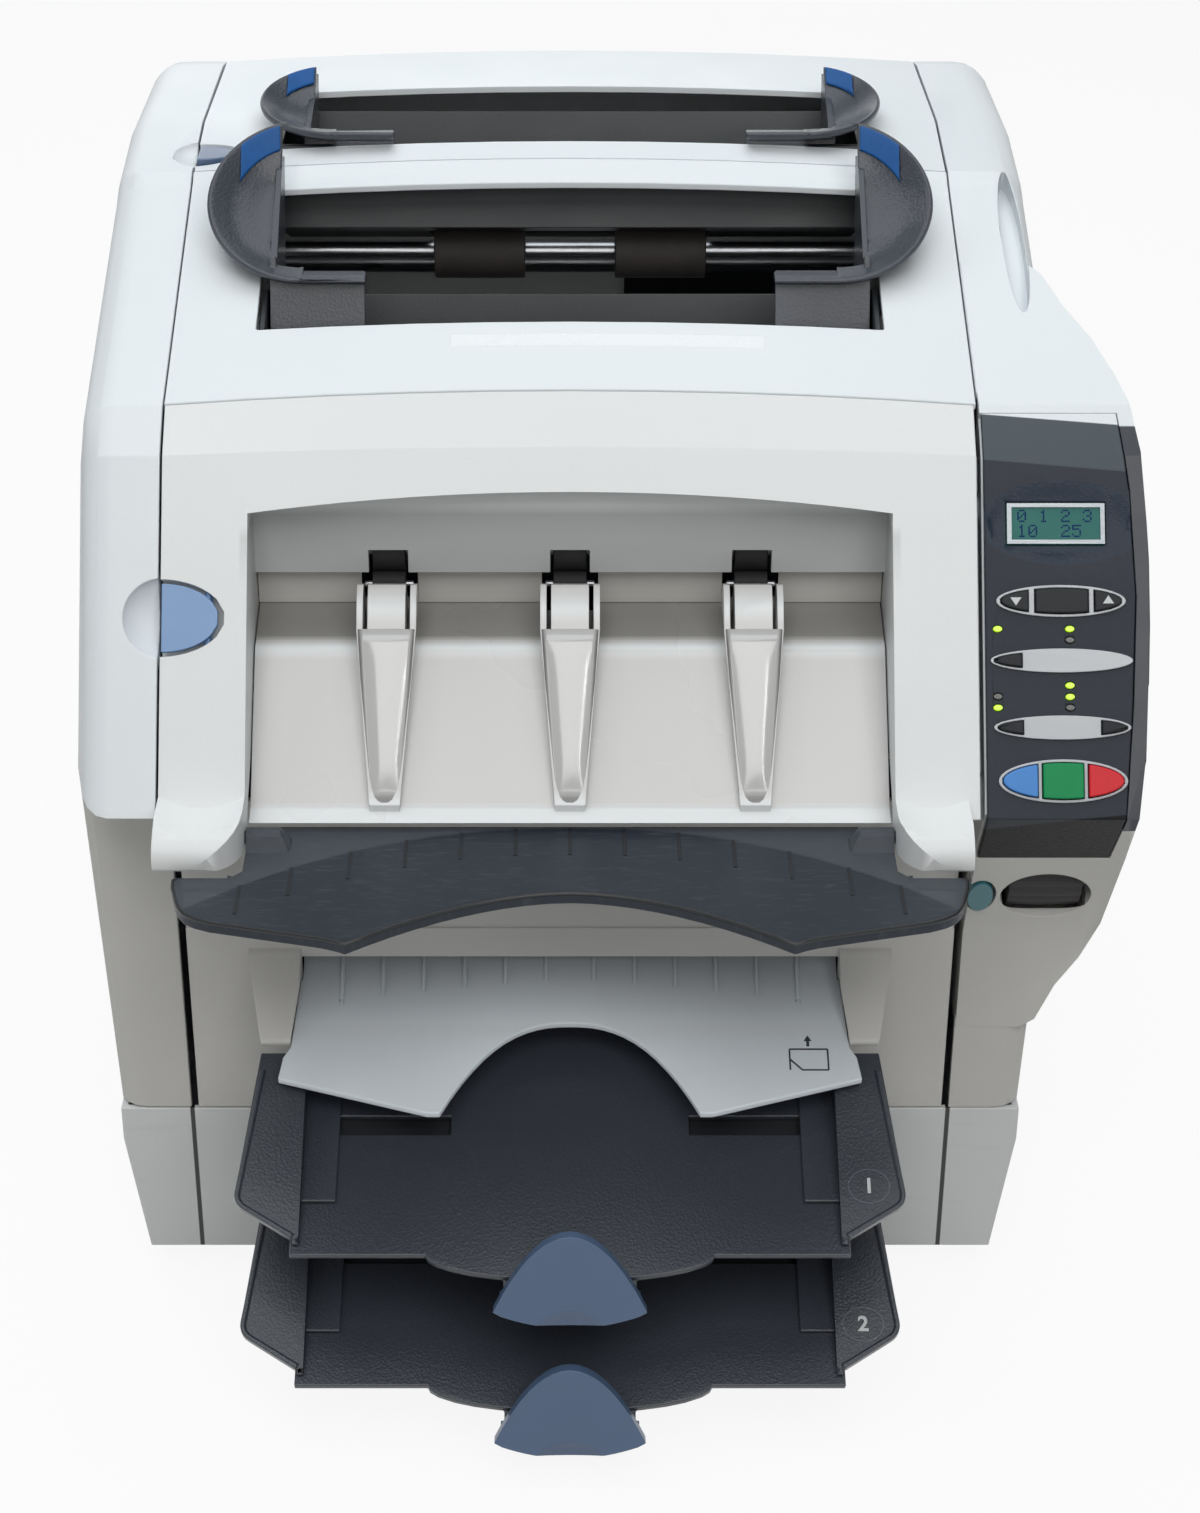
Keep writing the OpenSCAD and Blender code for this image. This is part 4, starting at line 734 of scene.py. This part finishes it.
# spots: place, turn (radians) and size of each copy; the template is a mesh one unit wide
def repeat(name, spots, template, finish, body):
    base = bpy.data.meshes.new(name)
    base.from_pydata([s[0] for s in spots], [], [])
    for title, index in (("turn", 1), ("grow", 2)):
        layer = base.attributes.new(title, "FLOAT_VECTOR", "POINT")
        for i, spot in enumerate(spots):
            layer.data[i].vector = spot[index]
    carrier = bpy.data.objects.new(name, base)
    mould = bpy.data.objects.new(name + "Mould", template)
    scene.collection.objects.link(carrier)
    scene.collection.objects.link(mould)
    modifier = carrier.modifiers.new("repeat", "NODES")
    modifier.node_group = repeats
    sockets = {i.name: i.identifier for i in repeats.interface.items_tree if i.in_out == "INPUT"}
    modifier[sockets["Template"]] = mould
    modifier[sockets["Finish"]] = finish.material
    plain = settled(carrier)
    bpy.data.objects.remove(mould)
    for title in ("turn", "grow"):
        if title in plain.attributes:
            plain.attributes.remove(plain.attributes[title])
    return keep(name, plain, None, body)


# A closed skin over rings of points, each ring as long as the others
def loft(shape, rings):
    layers = [[shape.verts.new(p) for p in ring] for ring in rings]
    shape.faces.new(list(reversed(layers[0])))
    shape.faces.new(layers[-1])
    for low, high in zip(layers, layers[1:]):
        for i in range(len(low)):
            j = (i + 1) % len(low)
            shape.faces.new((low[i], low[j], high[j], high[i]))


def lofted(name, rings):
    mesh = bpy.data.meshes.new(name)
    shape = bmesh.new()
    loft(shape, rings)
    shape.to_mesh(mesh)
    shape.free()
    return mesh


# A block one unit wide standing on its underside, its upper edges chamfered
def block(chamfer):
    return lofted("block", [[(r * sx, r * sy, h) for sx, sy in ((-1, -1), (1, -1), (1, 1), (-1, 1))]
                            for r, h in ((0.5, 0.0), (0.5, 1 - chamfer), (0.5 - chamfer, 1.0))])


def turned(profile, sides):
    angles = [2 * math.pi * i / sides for i in range(sides)]
    return lofted("turned", [[(r * math.cos(a), r * math.sin(a), h) for a in angles] for r, h in profile])


# Prisms from flat outlines in millimetres, put in place by a function of x, y and height
def slabs(name, outlines, place, low, high, finish, body, slot):
    mesh = bpy.data.meshes.new(name)
    shape = bmesh.new()
    for outline in outlines:
        loft(shape, [[place(x, y, height) for x, y in outline] for height in (low, high)])
    bmesh.ops.recalc_face_normals(shape, faces=shape.faces)
    shape.to_mesh(mesh)
    shape.free()
    return keep(name, mesh, finish, body)


def oblong(left, low, right, high):
    return [(left, low), (right, low), (right, high), (left, high)]


def oblongAt(x, y, half):
    return oblong(x - half[0], y - half[1], x + half[0], y + half[1])


# For outlines drawn across and up, with their thickness running back
def upright(x, z, y):
    return at(x, y, z)


def barBetween(a, b, width):
    run = Vector((b[0] - a[0], b[1] - a[1]))
    side = Vector((-run.y, run.x)).normalized() * width * 0.5
    return [(a[0] - side.x, a[1] - side.y), (b[0] - side.x, b[1] - side.y),
            (b[0] + side.x, b[1] + side.y), (a[0] + side.x, a[1] + side.y)]


# Display: a metal frame on the glass and dark dots that make plain numbers

frameSet = {"x": (172.7, 174.5, 209.6, 211.3), "t": (109.2, 110.8, 123.8, 125.4), "low": -1.35, "high": -0.5}
xs = frameSet["x"]
ts = frameSet["t"]
slabs("display_frame",
      [oblong(xs[0], ts[0], xs[3], ts[1]), oblong(xs[0], ts[2], xs[3], ts[3]),
       oblong(xs[0], ts[1], xs[1], ts[2]), oblong(xs[2], ts[1], xs[3], ts[2])],
      onFace, frameSet["low"], frameSet["high"], brushed("displayFrame", colour(150, 156, 160), 0.42),
      "machine", "silver")

digits = {"0": "01110 10001 10011 10101 11001 10001 01110", "1": "00100 01100 00100 00100 00100 00100 01110",
          "2": "01110 10001 00001 00110 01000 10000 11111", "3": "01110 10001 00001 00110 00001 10001 01110",
          "5": "11111 10000 11110 00001 00001 10001 01110"}
dotSet = {"lines": ["0 1 2 3", "10  25"], "pitch": 0.72, "columns": 6, "start": (177.2, 122.6), "row": 6.0,
          "glass": -1.31, "size": (0.6, 0.6, 0.08), "chamfer": 0.05}
faceTurn = (math.atan2(slopeSet["lean"][1], slopeSet["lean"][0]), 0, 0)
dotSize = Vector(dotSet["size"]) * mm
dots = []
for row, line in enumerate(dotSet["lines"]):
    for column, mark in enumerate(line):
        for down, cells in enumerate(digits.get(mark, "").split()):
            for over, cell in enumerate(cells):
                if cell == "1":
                    x = dotSet["start"][0] + (column * dotSet["columns"] + over) * dotSet["pitch"]
                    t = dotSet["start"][1] - row * dotSet["row"] - down * dotSet["pitch"]
                    dots.append((onFace(x, t, dotSet["glass"]), faceTurn, dotSize))
displayInk = moulded("displayInk", colour(12, 30, 96), rough=0.6, grain=0.0, size=900, shadeAndDust=0, rub=0,
                     fleck=0.02, spec=0.1)
repeat("display_dots", dots, block(dotSet["chamfer"]), displayInk, "machine")


# Arrows on the two outer keys of the upper row: where they lie and which way they point

arrowSet = {"down": (175.4, 86.2, -1), "up": (211.8, 86.2, 1), "half": 2.2, "tail": 1.2, "tip": 2.0,
            "low": 2.3, "high": 2.52}
paleInk = moulded("paleInk", colour(206, 212, 214), rough=0.5, grain=0.1, shadeAndDust=0.05, rub=0)
for title in ("down", "up"):
    x, t, way = arrowSet[title]
    tail = t - arrowSet["tail"] * way
    outline = [(x - arrowSet["half"], tail), (x + arrowSet["half"], tail), (x, t + arrowSet["tip"] * way)]
    slabs(title + "_arrow", [outline], onFace, arrowSet["low"], arrowSet["high"], paleInk, title + "_button",
          "silver")


# Sheet trays: how they lean, how much more the wings of their guides rise, and where the next tray lies

traySet = {"lean": 19.0, "rise": 9.8, "fold": 4.0, "front": -107.0, "high": 82.0, "step": (9.0, 60.0)}


def onTray(level):
    lean = Matrix.Rotation(math.radians(traySet["lean"]), 3, "X")
    front = traySet["front"] - traySet["step"][0] * level
    high = traySet["high"] - traySet["step"][1] * level

    def place(x, y, z):
        seat = lean @ Vector((x, y, z))
        return at(seat.x, seat.y + front, seat.z + high)
    return place


def onWing(level):
    rise = Matrix.Rotation(math.radians(traySet["rise"]), 3, "X")
    tray = onTray(level)

    def place(x, y, z):
        return tray(*(rise @ Vector((x, y, z)) + Vector((0, traySet["fold"], 0))))
    return place


# Wing marks: a raised oval ring with a plain number on the right-hand guides

def written(text, size, thick):
    data = bpy.data.curves.new("mark", "FONT")
    data.body = text
    data.size = size
    data.extrude = thick
    data.offset = size * 0.025  # a little bolder
    data.align_x = "CENTER"
    data.align_y = "CENTER"
    data.resolution_u = 6
    carrier = bpy.data.objects.new("mark", data)
    scene.collection.objects.link(carrier)
    return settled(carrier)


def ringOf(centre, half, width, steps):
    inner = (half[0] - width, half[1] - width)
    outlines = []
    for i in range(steps):
        a, b = (2 * math.pi * k / steps for k in (i, i + 1))
        outlines.append([(centre[0] + r[0] * math.cos(q), centre[1] + r[1] * math.sin(q))
                         for r, q in ((inner, a), (half, a), (half, b), (inner, b))])
    return outlines


wingSet = {"spots": [(120.4, 24.7), (120.0, 21.3)], "half": (8.6, 7.6), "ring": 0.6, "steps": 40, "low": 2.2,
           "high": 2.65, "size": 9.0, "thick": 0.12, "ink": 2.5}
wingRing = sparkling("wingRing", colour(74, 79, 88), 0.3)
for level, (guide, spot) in enumerate(zip(("upper", "lower"), wingSet["spots"])):
    place = onWing(level)
    body = guide + "_guide_right"
    ring = ringOf(spot, wingSet["half"], wingSet["ring"], wingSet["steps"])
    slabs(guide + "_ring", ring, place, wingSet["low"], wingSet["high"], wingRing, body, "charcoal")
    number = written(str(level + 1), wingSet["size"], wingSet["thick"])
    for point in number.vertices:
        point.co = place(point.co.x + spot[0], point.co.y + spot[1], point.co.z + wingSet["ink"])
    keep(guide + "_number", number, paleInk, body)


# Mark on the manual tray: an outline with a cut corner and an arrow that shows the way in

manualLine = [(14, 153.5), (3, 145), (-10, 138.4), (-23, 132.8), (-40, 126.2), (-62, 118.6)]


# h above the tray, whose upper side follows the line
def onManual(x, y, h):
    for a, b in zip(manualLine, manualLine[1:]):
        if y >= b[0]:
            return at(x, y, a[1] + (b[1] - a[1]) * (y - a[0]) / (b[0] - a[0]) + h)
    return at(x, y, manualLine[-1][1] + h)


markSet = {"x": (90.3, 106.0), "y": (-42.0, -32.5), "line": 0.7, "corner": 5.0, "arrow": 98.0, "shaft": 0.6,
           "head": 1.6, "arrowY": (-31.2, -28.8, -26.2), "low": -0.1, "high": 0.06}
left, right = markSet["x"]
near, far = markSet["y"]
corner = markSet["corner"]
path = [(left, near), (left, far), (right, far), (right, near), (left + corner, near), (left, near + corner)]
tail, neck, tip = markSet["arrowY"]
middle = markSet["arrow"]
marks = [barBetween(a, b, markSet["line"]) for a, b in zip(path, path[1:])]
marks.append(oblong(middle - markSet["shaft"], tail, middle + markSet["shaft"], neck))
marks.append([(middle - markSet["head"], neck), (middle + markSet["head"], neck), (middle, tip)])
darkInk = moulded("darkInk", colour(52, 58, 66), rough=0.55, grain=0.1, shadeAndDust=0, rub=0)
slabs("manual_mark", marks, onManual, markSet["low"], markSet["high"], darkInk, "machine", "charcoal")


# Fingers of the exit plate are crowned across, their crowns die away at both ends

fingerSet = {"pitch": 73.5, "low": (-23.0, 241.6), "high": (20.5, 296.4), "half": (5.6, 11.4), "taper": 0.8,
             "crown": 1.7, "ends": ((0.25, 4), (0.4, 5)), "out": (-0.778, 0.628), "steps": 12, "flat": 0.00006,
             "across": (-1, -0.8, -0.55, -0.28, 0, 0.28, 0.55, 0.8, 1)}


def between(a, b, k):
    return a + (b - a) * k


def crowned(centre):
    foot, head = fingerSet["ends"]
    rings = []
    for i in range(fingerSet["steps"] + 1):
        k = i / fingerSet["steps"]
        y, z = (between(a, b, k) for a, b in zip(fingerSet["low"], fingerSet["high"]))
        half = between(*fingerSet["half"], k ** fingerSet["taper"])
        crown = fingerSet["crown"] * min(1.0, foot[0] + foot[1] * k, head[0] + head[1] * (1 - k))
        outY, outZ = (crown * o for o in fingerSet["out"])
        rings.append([at(centre + half * q, y + outY * (1 - q * q), z + outZ * (1 - q * q))
                      for q in fingerSet["across"]])
    return rings


shape = bmesh.new()
for i in (-1, 0, 1):
    loft(shape, crowned(i * fingerSet["pitch"]))
bmesh.ops.recalc_face_normals(shape, faces=shape.faces)
for face in shape.faces:
    face.smooth = len(face.verts) == 4 and face.calc_area() < fingerSet["flat"]
fingerMesh = bpy.data.meshes.new("finger_crowns")
shape.to_mesh(fingerMesh)
shape.free()
fingerGloss = moulded("fingerGloss", colour(198, 198, 197), rough=0.14, grain=0.02, size=1700, shadeAndDust=0.1,
                      rub=0, coat=0.9)
keep("finger_crowns", fingerMesh, fingerGloss, "door")


# Wall of the exit recess below the roller windows, open at the fingers

apronSet = {"y": (54.0, 55.6), "z": (291.5, 305.0), "edge": 127.2, "gap": 11.5}
gaps = [i * fingerSet["pitch"] + side * apronSet["gap"] for i in (-1, 0, 1) for side in (-1, 1)]
stops = [-apronSet["edge"], *gaps, apronSet["edge"]]
low, high = apronSet["z"]
# its grey is painted darker than the cover's plastic, for the shade inside the recess
apronGrey = moulded("apronGrey", colour(196, 194, 190), rough=0.45, grain=0.2, shadeAndDust=0.3, rub=0)
slabs("recess_apron", [oblong(a, low, b, high) for a, b in zip(stops[::2], stops[1::2])], upright,
      *apronSet["y"], apronGrey, "door", "shell_grey")


# Floors of the guide rails below the sheet trays, and the baffle behind the rear vents: dark pieces that also
# stand in for the shade inside the slots and vents

railSet = {"x": 78.0, "half": (31.0, 6.0), "y": (62.0, 150.0), "low": -4.4, "high": -3.2}
railDark = moulded("railDark", colour(34, 36, 41), rough=0.5, grain=0.3, size=1200, shadeAndDust=0.3, rub=0)
floors = [oblongAt(side * railSet["x"], y, railSet["half"]) for side in (-1, 1) for y in railSet["y"]]
for level, title in enumerate(("upper", "lower")):
    slabs(title + "_rails", floors, onTray(level), railSet["low"], railSet["high"], railDark, "machine",
          "charcoal")

# a dark sheet standing in for the shade inside the vents
baffleSet = {"x": 79.0, "z": 273.0, "half": (52.0, 49.0), "y": (376.0, 377.2)}
slabs("vent_baffle", [oblongAt(baffleSet["x"], baffleSet["z"], baffleSet["half"])], upright, *baffleSet["y"],
      railDark, "machine", "dark_plastic")


# Screws of the rear cover: low heads with a socket

screwSet = {"x": (-146.0, 146.0), "z": (74.0, 196.0, 326.0), "rear": 384.9, "size": 7.0, "sides": 24,
            "profile": [(0.5, 0.0), (0.5, 0.16), (0.42, 0.25), (0.24, 0.27), (0.21, 0.25), (0.2, 0.1)]}
screws = [(at(x, screwSet["rear"], z), (-math.pi / 2, 0, 0), (screwSet["size"] * mm,) * 3)
          for x in screwSet["x"] for z in screwSet["z"]]
repeat("rear_screws", screws, turned(screwSet["profile"], screwSet["sides"]),
       brushed("screwSteel", colour(150, 152, 156), 0.35), "machine")


# Dark glossy bead round the smoked tray's front edge: one half of its path, then the notch in the middle

def bead(name, path, radius, finish, body):
    data = bpy.data.curves.new(name, "CURVE")
    data.dimensions = "3D"
    data.bevel_depth = radius
    data.bevel_resolution = 2
    data.use_fill_caps = True
    line = data.splines.new("POLY")
    line.points.add(len(path) - 1)
    for point, place in zip(line.points, path):
        point.co = (*place, 1)
    carrier = bpy.data.objects.new(name, data)
    scene.collection.objects.link(carrier)
    return keep(name, settled(carrier), finish, body)


rimSet = {"half": [(-151.6, -65.4), (-153.0, -66.8), (-152.6, -72), (-150.2, -82), (-148.6, -86.4),
                   (-146.1, -90.5), (-141.8, -93.6), (-135.9, -96.2), (-93, -107), (-88, -109), (-84, -111)],
          "notch": 35.5, "bend": 1.8, "steps": 10, "top": 232.6, "radius": 0.8}
endX, endY = rimSet["half"][-1]
shares = [i / rimSet["steps"] for i in range(1 - rimSet["steps"], rimSet["steps"])]
notch = [(-endX * k, endY + rimSet["notch"] * (1 - abs(k) ** rimSet["bend"])) for k in shares]
rimPath = rimSet["half"] + notch + [(-x, y) for x, y in reversed(rimSet["half"])]
smokedRim = moulded("smokedRim", colour(16, 18, 22), rough=0.35, grain=0.0, size=900, shadeAndDust=0, rub=0, coat=0.1)
bead("stacker_rim", [at(x, y, rimSet["top"]) for x, y in rimPath], rimSet["radius"] * mm, smokedRim,
     "stacker")


# Shallow ribs on the smoked tray, in front of its arc

ribSet = {"x": [0, 21.4, 42.8, 64.2, 85.7, 108.0, 127.0], "size": (1.5, 20.0, 0.3), "low": 232.98,
          "chamfer": 0.2}
ribSize = Vector(ribSet["size"]) * mm
ribs = []
for x in ribSet["x"]:
    y = smokedSet["middle"] - smokedSet["fall"] * x ** smokedSet["bend"] - ribSet["size"][1] * 0.5
    for side in ((1, -1) if x else (1,)):
        ribs.append((at(side * x, y, ribSet["low"]), (0, 0, 0), ribSize))
smokedRibs = moulded("smokedRibs", colour(24, 28, 34), rough=0.6, grain=0.0, size=900, shadeAndDust=0, rub=0)
repeat("stacker_ribs", ribs, block(ribSet["chamfer"]), smokedRibs, "stacker")
print("details:", len(made) - len(frame["nodes"]))


# Floor: a wide bowl, so that low views meet white instead of a horizon; it is seen paler than it shines back

floorSet = {"radius": 30.0, "height": 14.0, "sides": 64, "below": -0.0002, "glow": 0.9,
            "seen": colour(252, 252, 252), "bounce": colour(165, 165, 163)}
count = floorSet["sides"]
angles = [2 * math.pi * i / count for i in range(count)]
rim = [(floorSet["radius"] * math.cos(a), floorSet["radius"] * math.sin(a)) for a in angles]
walls = [(i, i + count, (i + 1) % count + count, (i + 1) % count) for i in range(count)]
floorMesh = bpy.data.meshes.new("floor")
floorMesh.from_pydata([(x, y, 0) for x, y in rim] + [(x, y, floorSet["height"]) for x, y in rim], [],
                      [tuple(range(count))] + walls)
floor = bpy.data.objects.new("floor", floorMesh)
floor.location = (0, 0, floorSet["below"])
scene.collection.objects.link(floor)

floorFinish = Finish("paleFloor", Roughness=0.8)
rays = [floorFinish.node("ShaderNodeLightPath", output=f"Is {kind} Ray")
        for kind in ("Camera", "Glossy", "Transmission")]
seen = (rays[0] + rays[1] + rays[2]).clamp()
bounce = floorFinish.mix(floorFinish.noise(3.0, 3.0), tint(floorSet["bounce"], 0.97), floorSet["bounce"])
floorFinish.set(Base_Color=floorFinish.mix(seen, bounce, floorSet["seen"]))
glow = floorFinish.node("ShaderNodeEmission", None, {"Color": (1, 1, 1, 1), "Strength": 1.0})
diffuse = Sock(floorFinish, floorFinish.surface.outputs[0])
shown = floorFinish.node("ShaderNodeMixShader", None, {0: seen * floorSet["glow"], 1: diffuse, 2: glow})
floorFinish.put(floorFinish.tree.nodes["Material Output"].inputs["Surface"], shown)
floorMesh.materials.append(floorFinish.material)


# Light

lightSet = {"world": 0.08, "top": 21.0, "front": 24.5, "low": 9.5, "side": 4.0, "rear": 7.0, "strip": 2.2}

world = bpy.data.worlds.new("studio")
scene.world = world
world.use_nodes = True
world.node_tree.nodes["Background"].inputs["Color"].default_value = (0.96, 0.98, 1.0, 1)
world.node_tree.nodes["Background"].inputs["Strength"].default_value = lightSet["world"]


def lamp(name, place, target, size, power, tone):
    data = bpy.data.lights.new(name, "AREA")
    data.shape = "RECTANGLE"
    data.size = size[0]
    data.size_y = size[1]
    data.energy = power
    data.color = tone
    holder = bpy.data.objects.new(name, data)
    holder.location = place
    holder.rotation_euler = (Vector(target) - Vector(place)).to_track_quat("-Z", "Y").to_euler()
    scene.collection.objects.link(holder)


lamp("topSoft", (-0.1, 0.25, 2.0), (0, 0, 0.2), (2.2, 1.8), lightSet["top"], (0.94, 0.98, 1.0))
lamp("frontHigh", (0.1, -1.6, 2.2), (0, 0, 0.25), (2.0, 1.2), lightSet["front"], (1.0, 0.985, 0.96))
lamp("frontLow", (0.2, -2.7, 1.45), (0, 0, 0.2), (2.2, 0.9), lightSet["low"], (1.0, 0.99, 0.97))
lamp("sideSoft", (-2.0, -0.6, 1.2), (0, 0, 0.25), (1.2, 1.4), lightSet["side"], (1.0, 1.0, 1.0))
lamp("rearSoft", (-0.5, 2.4, 1.3), (0, 0, 0.25), (1.8, 1.2), lightSet["rear"], (0.97, 0.99, 1.0))
lamp("stripRight", (1.0, -1.7, 1.5), (0, 0, 0.25), (0.07, 1.0), lightSet["strip"], (1.0, 1.0, 1.0))
print("studio ready")
